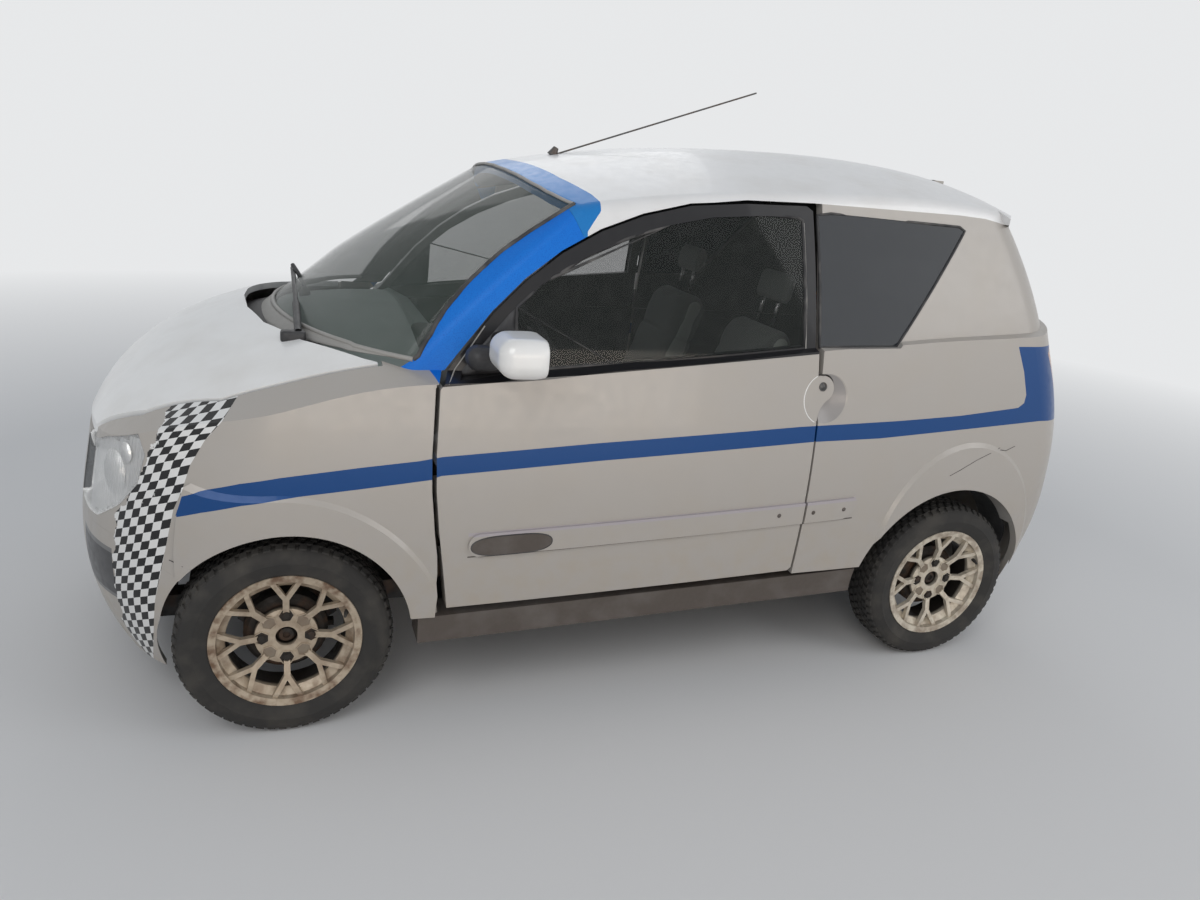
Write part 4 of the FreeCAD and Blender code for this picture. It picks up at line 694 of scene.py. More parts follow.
def add_lathe(work, matrix, profile, sides=48):
    """A solid turned round the local Z axis from (radius, height) points, in a mesh being made."""
    rows = []
    for radius, height in profile:
        row = []
        for i in range(sides):
            angle = 2 * math.pi * i / sides
            spot = Vector((radius * math.cos(angle), radius * math.sin(angle), height))
            row.append(work.verts.new(matrix @ spot))
        rows.append(row)
    for low, high in zip(rows, rows[1:]):
        for i in range(sides):
            j = (i + 1) % sides
            work.faces.new((low[i], low[j], high[j], high[i]))
    work.faces.new(rows[0])
    work.faces.new(rows[-1])


def rounded_slab(half, corner, taper):
    """A rounded slab; X along it, Y across it and Z through it."""
    work = bmesh.new()
    bmesh.ops.create_cube(work, size=2.0)
    bmesh.ops.subdivide_edges(work, edges=work.edges, cuts=22, use_grid_fill=True)
    for vertex in work.verts:
        wide = Vector((vertex.co.x * half[0], vertex.co.y * half[1], vertex.co.z * half[2]))
        core = Vector([max(-h + corner, min(h - corner, c)) if h > corner else 0.0
                       for c, h in zip(wide, half)])
        away = wide - core
        if away.length > 1e-6:
            reach = Vector([min(corner, h) for h in half])
            unit = Vector([a / r for a, r in zip(away, reach)])
            unit = unit.normalized() * min(1.0, max(abs(u) for u in unit))
            wide = core + Vector([u * r for u, r in zip(unit, reach)])
        share = (wide.x / half[0] + 1) / 2
        wide.y *= 1 - (1 - taper) * share ** 2
        vertex.co = wide
    return work


def facing(place, direction, roll_from=Vector((0, 0, 1))):
    """A matrix that puts the local Z axis along a direction at a place."""
    z = Vector(direction).normalized()
    x = roll_from.cross(z)
    if x.length < 0.01:
        x = Vector((1, 0, 0)).cross(z)
    x.normalize()
    y = z.cross(x)
    return Matrix.Translation(Vector(place)) @ Matrix((x, y, z)).transposed().to_4x4()


def tube(name, points, radius, body, slot, material=None, closed=False):
    """A round bead along points."""
    curve = bpy.data.curves.new(name, "CURVE")
    curve.dimensions = "3D"
    curve.bevel_depth = radius
    curve.bevel_resolution = 2
    line = curve.splines.new("POLY")
    line.points.add(len(points) - 1)
    for point, place in zip(line.points, points):
        point.co = (*place, 1.0)
    line.use_cyclic_u = closed
    line.use_smooth = True
    piece = bpy.data.objects.new(name, curve)
    bpy.context.scene.collection.objects.link(piece)
    return dress(piece, name, body, slot, material)


def tree_of(*names):
    """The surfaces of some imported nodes, ready for rays."""
    vertices = []
    faces = []
    for name in names:
        mesh = nodes[name].data
        first = len(vertices)
        vertices += [v.co.copy() for v in mesh.vertices]
        faces += [[first + i for i in p.vertices] for p in mesh.polygons]
    return BVHTree.FromPolygons(vertices, faces)


def on_side(tree, x, z, side=-1):
    """The point and normal of the body's side at a place of the side view."""
    place, normal, _, _ = tree.ray_cast(Vector((x, side * 1.2, z)), Vector((0, -side, 0)))
    return place, normal


def pane_loops(name, thickness):
    """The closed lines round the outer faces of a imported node's panes."""
    work = bmesh.new()
    work.from_mesh(nodes[name].data)
    bmesh.ops.remove_doubles(work, verts=work.verts, dist=0.00002)
    tree = BVHTree.FromBMesh(work)
    outer = set()
    for face in work.faces:
        centre = face.calc_center_median()
        if face.normal.dot(centre - Vector((centre.x * 0.6, 0, 0.7))) <= 0:
            continue
        hit = tree.ray_cast(centre - face.normal * 0.0005, -face.normal, thickness * 1.6)[0]
        if hit is not None:
            outer.add(face)
    follow = {}
    for edge in work.edges:
        if sum(face in outer for face in edge.link_faces) == 1:
            for a, b in (edge.verts, reversed(edge.verts)):
                follow.setdefault(a.index, []).append(b.index)
    work.verts.ensure_lookup_table()
    loops = []
    left = set(follow)
    while left:
        here = left.pop()
        path = [here]
        while True:
            ahead = [i for i in follow[here] if i in left]
            if not ahead:
                break
            here = ahead[0]
            left.discard(here)
            path.append(here)
        if len(path) > 12:
            loops.append([work.verts[i].co.copy() for i in path])
    work.free()
    return loops


def thinned(points, gap):
    kept = [points[0]]
    for point in points[1:]:
        if (point - kept[-1]).length >= gap:
            kept.append(point)
    return kept


# Seals round the glass

# A packed pane and the radius of its bead.
SEALS = (("door_glass_left", 0.0045), ("door_glass_right", 0.0045), ("quarter_glass", 0.0040),
         ("tailgate_glass", 0.0050))
SEAL_POINT_GAP = 0.006
PANE_WALL = 0.005
body_of = {n: b for b, members in frame["record"]["behaviour"]["bodies"].items() for n in members}
for name, radius in SEALS:
    for count, loop in enumerate(pane_loops(name, PANE_WALL)):
        tube("%s_seal_%d" % (name, count + 1), thinned(loop, SEAL_POINT_GAP), radius, body_of[name],
             "dark_plastic", "seal", closed=True)


# Windscreen

SCREEN_FLOOR = 0.860
SCREEN_NOSE = -1.084
SCREEN_RAKE = 1.2038
SCREEN_BOW = 0.740
SCREEN_BOW_GROWTH = 0.1923
SCREEN_FOOT = 0.946
SCREEN_FOOT_RISE = 0.018
SCREEN_WALL = 0.004
SCREEN_CUT = -0.797
HEADER_ARCH = 0.062
SCREEN_COLUMNS = 56
SCREEN_ROWS = 40
SCUTTLE_DROP = 0.033
SCUTTLE_ROWS = 4
SCUTTLE_WALL = 0.002
SEARCH_STEP = 0.001


def screen_x(y, z):
    """The windscreen's forward curve at a height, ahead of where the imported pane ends."""
    rise = z - SCREEN_FLOOR
    bow = SCREEN_BOW + rise * SCREEN_BOW_GROWTH
    return SCREEN_NOSE + rise * SCREEN_RAKE + bow - math.sqrt(bow ** 2 - y ** 2)


def windscreen():
    """The whole pane down to its foot, its seal and the pale strip beneath it."""
    pane = tree_of("windscreen")
    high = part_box("windscreen")[1]

    def struck(y, z):
        return pane.ray_cast(Vector((-1.6, y, z)), Vector((1, 0, 0)))[0]

    def edge(z):
        y = high.y
        while y > 0.4 and struck(y, z) is None:
            y -= SEARCH_STEP
        return y

    def top(y):
        z = high.z
        while z > 1.2 and struck(y, z) is None:
            z -= SEARCH_STEP
        return z

    def place(y, z):
        guess = screen_x(y, z)
        for step in range(12):
            hit = struck(y * (1 - 0.002 * step), z - SEARCH_STEP * step)
            if hit is not None and hit.x > SCREEN_CUT:
                return hit.x
            if guess < SCREEN_CUT + 0.02:
                return guess
        return pane.find_nearest(Vector((guess, y, z)))[0].x

    shoulder = top(0.0) - HEADER_ARCH
    corner = edge(shoulder) - 0.004
    edges = {}
    grid = []
    for i in range(SCREEN_ROWS + 1):
        row = []
        for k in range(SCREEN_COLUMNS + 1):
            across = 2 * k / SCREEN_COLUMNS - 1
            foot = SCREEN_FOOT + SCREEN_FOOT_RISE * (1 - across ** 2)
            z = foot + (top(abs(across) * corner) - 0.001 - foot) * i / SCREEN_ROWS
            key = round(min(z, shoulder), 3)
            if key not in edges:
                edges[key] = edge(key)
            y = across * edges[key]
            row.append(Vector((place(y, z), y, z)))
        grid.append(row)
    for _ in range(6):
        for i in range(1, SCREEN_ROWS):
            for k in range(1, SCREEN_COLUMNS):
                around = grid[i - 1][k].x + grid[i + 1][k].x + grid[i][k - 1].x + grid[i][k + 1].x
                grid[i][k].x = grid[i][k].x * 0.5 + around * 0.125
    glass = sheet("windscreen_glass", grid)
    add_wall(glass, SCREEN_WALL)
    dress(glass, "windscreen_glass", "body", slot_of_node["windscreen"], "screen_glass")
    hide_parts("windscreen")
    sides = [[row[k] for row in grid] for k in (0, -1)]
    # The seal is one black rubber all round; its foot and header are drawn pale grey as a painted highlight
    # where they face the sky, and its sides stay dark.
    tube("windscreen_seal_foot", grid[0], 0.0065, "body", "dark_plastic", "seal_pale")
    tube("windscreen_seal_header", grid[-1], 0.0045, "body", "dark_plastic", "seal_pale")
    for count, line in enumerate(sides):
        tube("windscreen_seal_side_%d" % (count + 1), line, 0.0065, "body", "dark_plastic", "seal")
    strip = []
    for i in range(SCUTTLE_ROWS + 1):
        row = []
        for k, foot in enumerate(grid[0]):
            across = 2 * k / SCREEN_COLUMNS - 1
            fall = SCUTTLE_DROP * (1 - across ** 2) * (SCUTTLE_ROWS - i) / SCUTTLE_ROWS
            row.append(foot - Vector((fall * SCREEN_RAKE + 0.004, 0, fall)))
        strip.append(row)
    scuttle = sheet("scuttle", strip)
    add_wall(scuttle, SCUTTLE_WALL)
    dress(scuttle, "scuttle_strip", "body", "dark_plastic", "seal_pale")


windscreen()


# Tyres with their tread

TYRE_SIDES = 144
TREAD_PITCHES = 58
# (offset outwards, radius) of half a tyre from the bead to the crown.
TYRE_HALF = ((0.0560, 0.1655), (0.0600, 0.1690), (0.0610, 0.1735), (0.0590, 0.1770), (0.0615, 0.1830),
             (0.0655, 0.1940), (0.0690, 0.2050), (0.0700, 0.2110), (0.0708, 0.2125), (0.0700, 0.2142),
             (0.0690, 0.2230), (0.0655, 0.2350), (0.0612, 0.2420), (0.0560, 0.2462), (0.0480, 0.2485),
             (0.0250, 0.2492))
# One row of blocks: its middle and width across the tyre, its length along, its skew, and its edge's drop.
TREAD = ((-0.0520, 0.0150, 0.0185, 0.0015, 0.0075), (-0.0330, 0.0170, 0.0200, 0.0040, 0.0010),
         (-0.0112, 0.0165, 0.0190, 0.0060, 0.0), (0.0112, 0.0165, 0.0190, -0.0060, 0.0),
         (0.0330, 0.0170, 0.0200, -0.0040, 0.0010), (0.0520, 0.0150, 0.0185, -0.0015, 0.0075))
TREAD_FLOOR = 0.2475
TREAD_TOP = TYRE_RADIUS - 0.0006
TREAD_TAPER = 0.90
# The tyre's inner wall, from bead to bead.
TYRE_INSIDE = ((-0.048, 0.1655), (-0.040, 0.236), (0.040, 0.236), (0.048, 0.1655))


def on_wheel(centre, side, offset, radius, turn):
    """A wheel's point from its offset outwards, its radius and its turn."""
    return (centre.x + radius * math.sin(turn), centre.y + side * offset, centre.z + radius * math.cos(turn))


def tyre_mesh(centre, side):
    vertices = []
    faces = []
    profile = [*TYRE_HALF, *[(-a, r) for a, r in reversed(TYRE_HALF)], *TYRE_INSIDE]
    for i in range(TYRE_SIDES):
        turn = 2 * math.pi * i / TYRE_SIDES
        for offset, radius in profile:
            vertices.append(on_wheel(centre, side, offset, radius, turn))
    count = len(profile)
    for i in range(TYRE_SIDES):
        for k in range(count):
            a = i * count + k
            b = i * count + (k + 1) % count
            c = ((i + 1) % TYRE_SIDES) * count + (k + 1) % count
            d = ((i + 1) % TYRE_SIDES) * count + k
            faces.append((a, b, c, d) if side < 0 else (d, c, b, a))
    for row, (middle, width, length, skew, drop) in enumerate(TREAD):
        for i in range(TREAD_PITCHES):
            turn = 2 * math.pi * (i + 0.5 * (row % 2)) / TREAD_PITCHES
            first = len(vertices)
            for radius, shrink in ((TREAD_FLOOR, 1.0), (TREAD_TOP, TREAD_TAPER)):
                for across, along in ((-1, -1), (1, -1), (1, 1), (-1, 1)):
                    offset = middle + across * width / 2 * shrink
                    outer = 1 if across * middle > 0 else 0
                    reach = radius - (drop * outer if shrink < 1 else drop * outer * 0.9)
                    angle = turn + (along * length / 2 * shrink + across * skew / 2) / TYRE_RADIUS
                    vertices.append(on_wheel(centre, side, offset, reach, angle))
            for quad in ((4, 5, 6, 7), (0, 1, 5, 4), (1, 2, 6, 5), (2, 3, 7, 6), (3, 0, 4, 7)):
                ordered = tuple(first + q for q in quad)
                faces.append(ordered if side > 0 else tuple(reversed(ordered)))
    return vertices, faces


BOLT_CIRCLE_HALF = 0.0575
HEX_RADIUS = 0.0200
HEX_WALL = 0.0026
HEX_HEIGHT = 0.0026
HEX_SUNK = -0.0005
HUB_PROBE = math.radians(22.5)
# (radius, height) profiles of the turned pieces.
BOLT_HEAD = ((0.0095, 0.0004), (0.0095, 0.0040), (0.0075, 0.0054))
HUB_NUT = ((0.0240, 0.0), (0.0240, 0.006), (0.0190, 0.010), (0.0175, 0.0155), (0.0090, 0.0175),
           (0.0080, 0.0110))
VALVE = ((0.0052, -0.012), (0.0052, 0.006), (0.0040, 0.009), (0.0040, 0.018), (0.0034, 0.020))
VALVE_PLACE = (0.140, 0, 0.062)
VALVE_OUT = 0.048
VALVE_LEAN = (-0.25, 0, -0.10)


def add_hexagon_ring(work, matrix, outer, inner, height):
    """A low six-sided wall on the local XY plane."""
    rows = []
    for radius, lift in ((outer, HEX_SUNK), (outer, height), (inner, height), (inner, HEX_SUNK)):
        row = []
        for degrees in range(0, 360, 60):
            turn = math.radians(degrees)
            spot = Vector((radius * math.cos(turn), radius * math.sin(turn), lift))
            row.append(work.verts.new(matrix @ spot))
        rows.append(row)
    for low, high in zip(rows, rows[1:] + rows[:1]):
        for i in range(6):
            j = (i + 1) % 6
            work.faces.new((low[i], low[j], high[j], high[i]))


def wheel_fittings(name, body, centre, side):
    """The hexagon pockets and bolts of the hub, its nut and the valve."""
    outwards = Vector((0, side, 0))
    rim = tree_of(name.replace("wheel_", "rim_"))
    between = Vector((math.cos(HUB_PROBE), 0, math.sin(HUB_PROBE))) * BOLT_CIRCLE_HALF
    struck = rim.ray_cast(centre + between + outwards * 0.3, -outwards)[0]
    face = centre + outwards * side * (struck.y - centre.y)
    finish = NODE_MATERIAL.get(name.replace("wheel_", "rim_"), "alloy")
    rings = bmesh.new()
    plates = bmesh.new()
    iron = bmesh.new()
    for i in range(8):
        along = Vector((math.cos(math.radians(45 * i)), 0, math.sin(math.radians(45 * i))))
        place = facing(face + along * BOLT_CIRCLE_HALF, outwards, along)
        add_hexagon_ring(rings, place, HEX_RADIUS, HEX_RADIUS - HEX_WALL, HEX_HEIGHT)
        reach = HEX_RADIUS - HEX_WALL / 2
        floor = ((reach, -0.0004), (reach, 0.0006), (0.001, 0.0006))
        add_lathe(plates if i % 2 else iron, place, floor, 6)
        if i % 2 == 0:
            add_lathe(iron, place, BOLT_HEAD, 6)
    add_lathe(iron, facing(centre + outwards * 0.008, outwards), HUB_NUT, 40)
    dress_bmesh(rings, name + "_hub_rings", body, "alloy", finish, smooth=False)
    dress_bmesh(plates, name + "_hub_plates", body, "alloy", "hub_grey", smooth=False)
    dress_bmesh(iron, name + "_bolts", body, "iron", smooth=False)
    work = bmesh.new()
    spot = centre + Vector(VALVE_PLACE) + outwards * VALVE_OUT
    add_lathe(work, facing(spot, outwards + Vector(VALVE_LEAN)), VALVE, 16)
    dress_bmesh(work, name + "_valve", body, "rubber")


for name in [n for n in nodes if n.startswith("tyre_")]:
    low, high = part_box(name)
    centre = (low + high) / 2
    centre.z = TYRE_RADIUS
    side = 1 if centre.y > 0 else -1
    piece = link_mesh(name + "_tread", *tyre_mesh(centre, side))
    dress(piece, name + "_tread", body_of[name], "rubber")
    piece.data.set_sharp_from_angle(angle=math.radians(35))
    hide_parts(name)
    wheel_fittings(name.replace("tyre_", "wheel_"), body_of[name], centre, side)


# Lamps

LENS_WALL = 0.003
# The cups in each lamp: x, distance from the middle, z and radius.
CUPS = ((-1.318, 0.500, 0.640, 0.050), (-1.285, 0.545, 0.700, 0.024))
CUP_ANGLES = (12, 30, 50, 70, 90)
CUP_DEPTH = 0.55
CUP_RIM = 1.08


def welded(name):
    """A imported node's mesh with its triangles joined."""
    work = bmesh.new()
    work.from_mesh(nodes[name].data)
    bmesh.ops.remove_doubles(work, verts=work.verts, dist=0.00002)
    return work


def split_lamp(name):
    """Divides a packed lamp's faces into the lens that shows outside and the bowl behind it."""
    work = welded(name)
    shell = tree_of("wing_left", "wing_right", "bonnet", "bumper_front", name)
    lens = []
    bowl = []
    for face in work.faces:
        centre = face.calc_center_median()
        outward = Vector((centre.x + 1.0, centre.y, 0.0)).normalized()
        free = shell.ray_cast(centre + face.normal * 0.0008, face.normal)[0] is None
        (lens if free and face.normal.dot(outward) > 0.25 else bowl).append(face.index)
    work.free()
    return lens, bowl


def faces_of(name, chosen):
    """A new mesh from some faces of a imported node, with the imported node's places."""
    work = welded(name)
    work.faces.ensure_lookup_table()
    keep = set(chosen)
    bmesh.ops.delete(work, geom=[f for f in work.faces if f.index not in keep], context="FACES")
    mesh = bpy.data.meshes.new(name + "_faces")
    work.to_mesh(mesh)
    work.free()
    piece = bpy.data.objects.new(mesh.name, mesh)
    bpy.context.scene.collection.objects.link(piece)
    return piece


lens_faces, bowl_faces = split_lamp("headlamps")
lens = faces_of("headlamps", lens_faces)
add_wall(lens, LENS_WALL)
dress(lens, "headlamp_lenses", body_of["headlamps"], slot_of_node["headlamps"], "lamp_clear")
bowl = faces_of("headlamps", bowl_faces)
dress(bowl, "headlamp_bowls", body_of["headlamps"], slot_of_node["headlamps"], "reflector")
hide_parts("headlamps")
for side_name, side in SIDES.items():
    work = bmesh.new()
    look = Vector((-0.85, side * 0.50, 0.10))
    for x, y, z, radius in CUPS:
        turns = [math.radians(a) for a in CUP_ANGLES]
        profile = [(radius * math.sin(a), -radius * CUP_DEPTH * math.cos(a)) for a in turns]
        profile += [(radius * CUP_RIM, 0.0), (radius * CUP_RIM, 0.002)]
        add_lathe(work, facing((x, side * y, z), look), profile, 40)
    dress_bmesh(work, "headlamp_cups_" + side_name, body_of["headlamps"], slot_of_node["headlamps"],
                "reflector")


RIB_STEP = 0.0024
RIB_PITCH = 0.0120
RIB_DEPTH = 0.0014
RIB_BEHIND = 0.0075
LAMP_MIDDLE = (-1.315, 0.520, 0.655)
LAMP_SPAN = 0.150
RIB_ROWS = 24
RIB_JUMP = 0.030
LAMP_LOOK = (0.80, 0.60)


def lamp_ribs(side_name, side):
    """The upright ribs moulded in the lens, as a waved sheet just behind it."""
    lens_tree = tree_of("headlamps")
    look = Vector((LAMP_LOOK[0], -side * LAMP_LOOK[1], 0))
    across = Vector((side * LAMP_LOOK[1], LAMP_LOOK[0], 0))
    middle = Vector((LAMP_MIDDLE[0], side * LAMP_MIDDLE[1], LAMP_MIDDLE[2]))
    columns = int(2 * LAMP_SPAN / RIB_STEP)
    vertices = []
    index = {}
    for i in range(RIB_ROWS + 1):
        for k in range(columns + 1):
            away = (2 * k / columns - 1) * LAMP_SPAN
            lift = Vector((0, 0, (2 * i / RIB_ROWS - 1) * LAMP_SPAN))
            start = middle + across * away + lift - look * 0.4
            hit, normal, _, span = lens_tree.ray_cast(start, look)
            if hit is None or normal.dot(look) > -0.35 or span > 0.5:
                continue
            wave = RIB_DEPTH * math.cos(2 * math.pi * away / RIB_PITCH)
            index[i, k] = len(vertices)
            vertices.append(hit - normal * (RIB_BEHIND + wave))
    faces = []
    for i in range(RIB_ROWS):
        for k in range(columns):
            corners = [index.get(c) for c in ((i, k), (i, k + 1), (i + 1, k + 1), (i + 1, k))]
            if None not in corners:
                spots = [vertices[c] for c in corners]
                if max((a - b).length for a in spots for b in spots) < RIB_JUMP:
                    faces.append(tuple(corners))
    dress(link_mesh("ribs", vertices, faces), "headlamp_ribs_" + side_name, body_of["headlamps"],
          slot_of_node["headlamps"], "lamp_rib")


for side_name, side in SIDES.items():
    lamp_ribs(side_name, side)


# Mirrors, lock, bare plate and screws

MIRROR_ARM_Y = 0.7185
MIRROR_ROUND = 0.036
MIRROR_ROOT = (-0.502, 0.692, 0.968)
MIRROR_ROOT_HALF = (0.044, 0.036, 0.029)
MIRROR_STRETCH = 1.55
MIRROR_NOSE_FALL = 0.10
# The mirror glass's width and height as shares of half the shell's.
MIRROR_GLASS = (1.62, 1.50)


def mirror(side_name, side):
    """The mirror's round-nosed shell and its glass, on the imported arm."""
    name = "mirror_" + side_name
    work = welded(name)
    arm = [f.index for f in work.faces if abs(f.calc_center_median().y) < MIRROR_ARM_Y + 0.004]
    head = [v.co for v in work.verts if abs(v.co.y) > MIRROR_ARM_Y + 0.012]
    low = Vector([min(v[axis] for v in head) for axis in range(3)])
    high = Vector([max(v[axis] for v in head) for axis in range(3)])
    work.free()
    stem = faces_of(name, arm)
    dress(stem, "mirror_arm_" + side_name, body_of[name], "dark_plastic")
    outer = max(abs(low.y), abs(high.y))
    half = Vector(((high.x - low.x) / 2, (outer - MIRROR_ARM_Y) / 2, (high.z - low.z) / 2))
    middle = Vector(((low.x + high.x) / 2, side * (outer + MIRROR_ARM_Y) / 2, (low.z + high.z) / 2))
    work = rounded_slab(half, MIRROR_ROUND, 1.0)
    for vertex in work.verts:
        stretched = vertex.co.x * MIRROR_STRETCH if vertex.co.x > 0 else vertex.co.x
        vertex.co.x = min(stretched, half.x - 0.001)
        vertex.co.z *= 1.0 - MIRROR_NOSE_FALL * max(0.0, -vertex.co.x / half.x) ** 2
        vertex.co += middle
    shell = dress_bmesh(work, "mirror_shell_" + side_name, body_of[name], "paint_white")
    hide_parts(name)
    root = rounded_slab(MIRROR_ROOT_HALF, MIRROR_ROOT_HALF[2], 1.0)
    for vertex in root.verts:
        vertex.co += Vector((MIRROR_ROOT[0], side * MIRROR_ROOT[1], MIRROR_ROOT[2]))
    dress_bmesh(root, "mirror_root_" + side_name, body_of[name], "dark_plastic")
    work = bmesh.new()
    add_block(work, moved(high.x - 0.002, middle.y, middle.z),
              (0.003, half.y * MIRROR_GLASS[0], half.z * MIRROR_GLASS[1]), 0.0012, 1)
    dress_bmesh(work, "mirror_glass_" + side_name, body_of[name], "steel", "chrome")


LOCK_PLACE = (0.4335, 0.903)
LOCK = ((0.0125, -0.004), (0.0125, 0.0014), (0.0108, 0.0020), (0.0100, 0.0006), (0.0090, 0.0006),
        (0.0088, 0.0012))
KEYWAY = (0.0022, 0.0095, 0.0010)


def lock_barrel(side_name, side):
    door = "door_" + side_name
    place, normal = on_side(tree_of(door), *LOCK_PLACE, side)
    work = bmesh.new()
    add_lathe(work, facing(place, normal), LOCK, 32)
    add_block(work, facing(place + normal * 0.0014, normal), KEYWAY)
    dress_bmesh(work, "door_lock_" + side_name, body_of[door], "steel")


PLATE_MIDDLE = (-0.4165, 0.5045)
PLATE_HALF = (0.103, 0.0265)
PLATE_STEPS = 40
PLATE_SLOPE = 0.042
# Powers below 1 make the ellipse fuller at its corners.
PLATE_FULLNESS = (0.6, 0.9)
BEAD_RADIUS = 0.0016


def oval_plate(side_name, side):
    """The bare oval plate on the door's rub strip, with its raised rim."""
    tree = tree_of("door_" + side_name)
    rim = []
    for i in range(PLATE_STEPS):
        turn = 2 * math.pi * i / PLATE_STEPS
        full = (abs(math.cos(turn)) ** PLATE_FULLNESS[0], abs(math.sin(turn)) ** PLATE_FULLNESS[1])
        x = PLATE_MIDDLE[0] + math.copysign(full[0], math.cos(turn)) * PLATE_HALF[0]
        z = PLATE_MIDDLE[1] + math.copysign(full[1], math.sin(turn)) * PLATE_HALF[1]
        z += (x - PLATE_MIDDLE[0]) * PLATE_SLOPE
        place, normal = on_side(tree, x, z, side)
        rim.append(place + normal * 0.0003)
    body = body_of["door_" + side_name]
    tube("plate_rim_" + side_name, rim, BEAD_RADIUS, body, "dark_plastic", "seal", closed=True)
    middle, normal = on_side(tree, *PLATE_MIDDLE, side)
    vertices = [middle + normal * 0.0016] + [p + normal * 0.0008 for p in rim]
    pairs = [(i, i % PLATE_STEPS + 1) for i in range(1, PLATE_STEPS + 1)]
    faces = [(0, a, b) if side > 0 else (0, b, a) for a, b in pairs]
    dress(link_mesh("plate", vertices, faces), "plate_" + side_name, body, "dark_plastic", "grey_plastic")


HANDLE_EDGE_DEGREES = range(112, 262, 6)


def handle_rim_highlight(side_name, side):
    """A pale bead on the door that completes the handle's round; its white paint is a painted highlight along
    the recess's rim.
    """
    tree = tree_of("door_" + side_name)
    line = []
    for degrees in HANDLE_EDGE_DEGREES:
        turn = math.radians(degrees)
        x = HANDLE_MIDDLE[0] + HANDLE_RADIUS * math.cos(turn)
        z = HANDLE_MIDDLE[1] + HANDLE_RADIUS * math.sin(turn)
        place, normal = on_side(tree, x, z, side)
        if place is not None:
            line.append(place - normal * 0.0006)
    # The bead's white is a painted highlight.
    tube("handle_rim_highlight_" + side_name, line, BEAD_RADIUS, body_of["door_" + side_name], "paint",
         "paint_white")


# The bright lines of the door's window frame in the side view: (x, z).
FRAME_LINES = (((-0.585, 0.905), (-0.562, 0.928), (-0.526, 0.980), (-0.491, 1.032), (-0.458, 1.075),
                (-0.427, 1.112)),
               ((0.381, 1.000), (0.377, 1.126), (0.372, 1.227), (0.368, 1.320)))


def frame_lines(side_name, side):
    tree = tree_of("door_" + side_name, "door_glass_" + side_name)
    for count, line in enumerate(FRAME_LINES):
        spots = [on_side(tree, x, z, side) for x, z in line]
        path = [place + normal * 0.0005 for place, normal in spots if place is not None]
        tube("frame_line_%s_%d" % (side_name, count + 1), path, BEAD_RADIUS, body_of["door_" + side_name],
             "paint", "seal_pale")


# The rub strip's screws: the panel and (x, z) in the side view.
SCREWS = (("door", 0.341, 0.543), ("quarter", 0.452, 0.546), ("quarter", 0.554, 0.550))
SCREW_HEAD = ((0.0062, -0.002), (0.0062, 0.0004), (0.0045, 0.0014), (0.0015, 0.0016))


def strip_screws(side_name, side):
    for count, (panel, x, z) in enumerate(SCREWS):
        node = "%s_%s" % (panel, side_name)
        place, normal = on_side(tree_of(node), x, z, side)
        work = bmesh.new()
        add_lathe(work, facing(place, normal), SCREW_HEAD, 20)
        dress_bmesh(work, "strip_screw_%s_%d" % (side_name, count + 1), body_of[node], "steel",
                    "grey_plastic")


for side_name, side in SIDES.items():
    mirror(side_name, side)
    lock_barrel(side_name, side)
    oval_plate(side_name, side)
    handle_rim_highlight(side_name, side)
    frame_lines(side_name, side)
    strip_screws(side_name, side)


# Wiper

WIPER_LOW = Vector((-0.906, -0.420, 0.962))
WIPER_HIGH = Vector((-0.898, 0.240, 1.022))
WIPER_KNEE = Vector((-0.868, 0.110, 0.985))
WIPER_BOW = 0.010
WIPER_STEPS = 12
WIPER_BLOCK = (-0.918, -0.415, 0.950)


def wiper():
    """The parked wiper along the windscreen's base, and the arm that carries it."""
    shares = [i / WIPER_STEPS for i in range(WIPER_STEPS + 1)]
    bow = [WIPER_LOW.lerp(WIPER_HIGH, s) + Vector((0, 0, WIPER_BOW * math.sin(math.pi * s))) for s in shares]
    blade = [p + Vector((0.004, 0, -0.014)) for p in bow]
    tube("wiper_blade", blade, 0.0050, "body", "dark_plastic", "rubber")
    tube("wiper_frame", bow, 0.0060, "body", "dark_plastic")
    tube("wiper_root", [bow[0], bow[4] + Vector((0, 0, 0.004))], 0.0095, "body", "dark_plastic")
    joint = WIPER_LOW.lerp(WIPER_HIGH, 0.93) + Vector((0, 0, 0.020))
    elbow = joint.lerp(WIPER_KNEE, 0.5) + Vector((0, 0, 0.006))
    tube("wiper_arm", [joint, elbow, WIPER_KNEE], 0.0065, "body", "dark_plastic")
    work = bmesh.new()
    deck = tree_of("cowl").ray_cast(Vector((WIPER_KNEE.x, WIPER_KNEE.y, 1.6)), Vector((0, 0, -1)))[0]
    pivot = ((0.016, 0.0), (0.016, 0.014), (0.012, 0.018), (0.009, WIPER_KNEE.z - deck.z + 0.006),
             (0.004, 0.030))
    add_lathe(work, facing(deck - Vector((0, 0, 0.004)), (0, 0, 1)), pivot, 24)
    add_block(work, moved(*WIPER_BLOCK), (0.060, 0.040, 0.030), 0.008)
    dress_bmesh(work, "wiper_pivot", "body", "dark_plastic")


wiper()


# Seats

SEAT_VOXEL = 0.008
SWELL_FRAMES = 20
SWELL_CAP = 0.022
SEAT_Y = -0.300
# One pad: its name, its middle in the side view, its half sizes (along, across, thick), its lean from the
# horizontal in degrees, its corner radius and the share of its width left at its far end.
PADS = (("cushion", (0.115, 0.462), (0.215, 0.205, 0.048), 3.0, 0.045, 0.96),
        ("back", (0.384, 0.752), (0.285, 0.205, 0.046), 71.5, 0.045, 0.80),
        ("head", (0.486, 1.112), (0.055, 0.108, 0.028), 80.0, 0.026, 0.92))
# A pad starts this much smaller all round than it ends.
SWELL_ROOM = 0.010
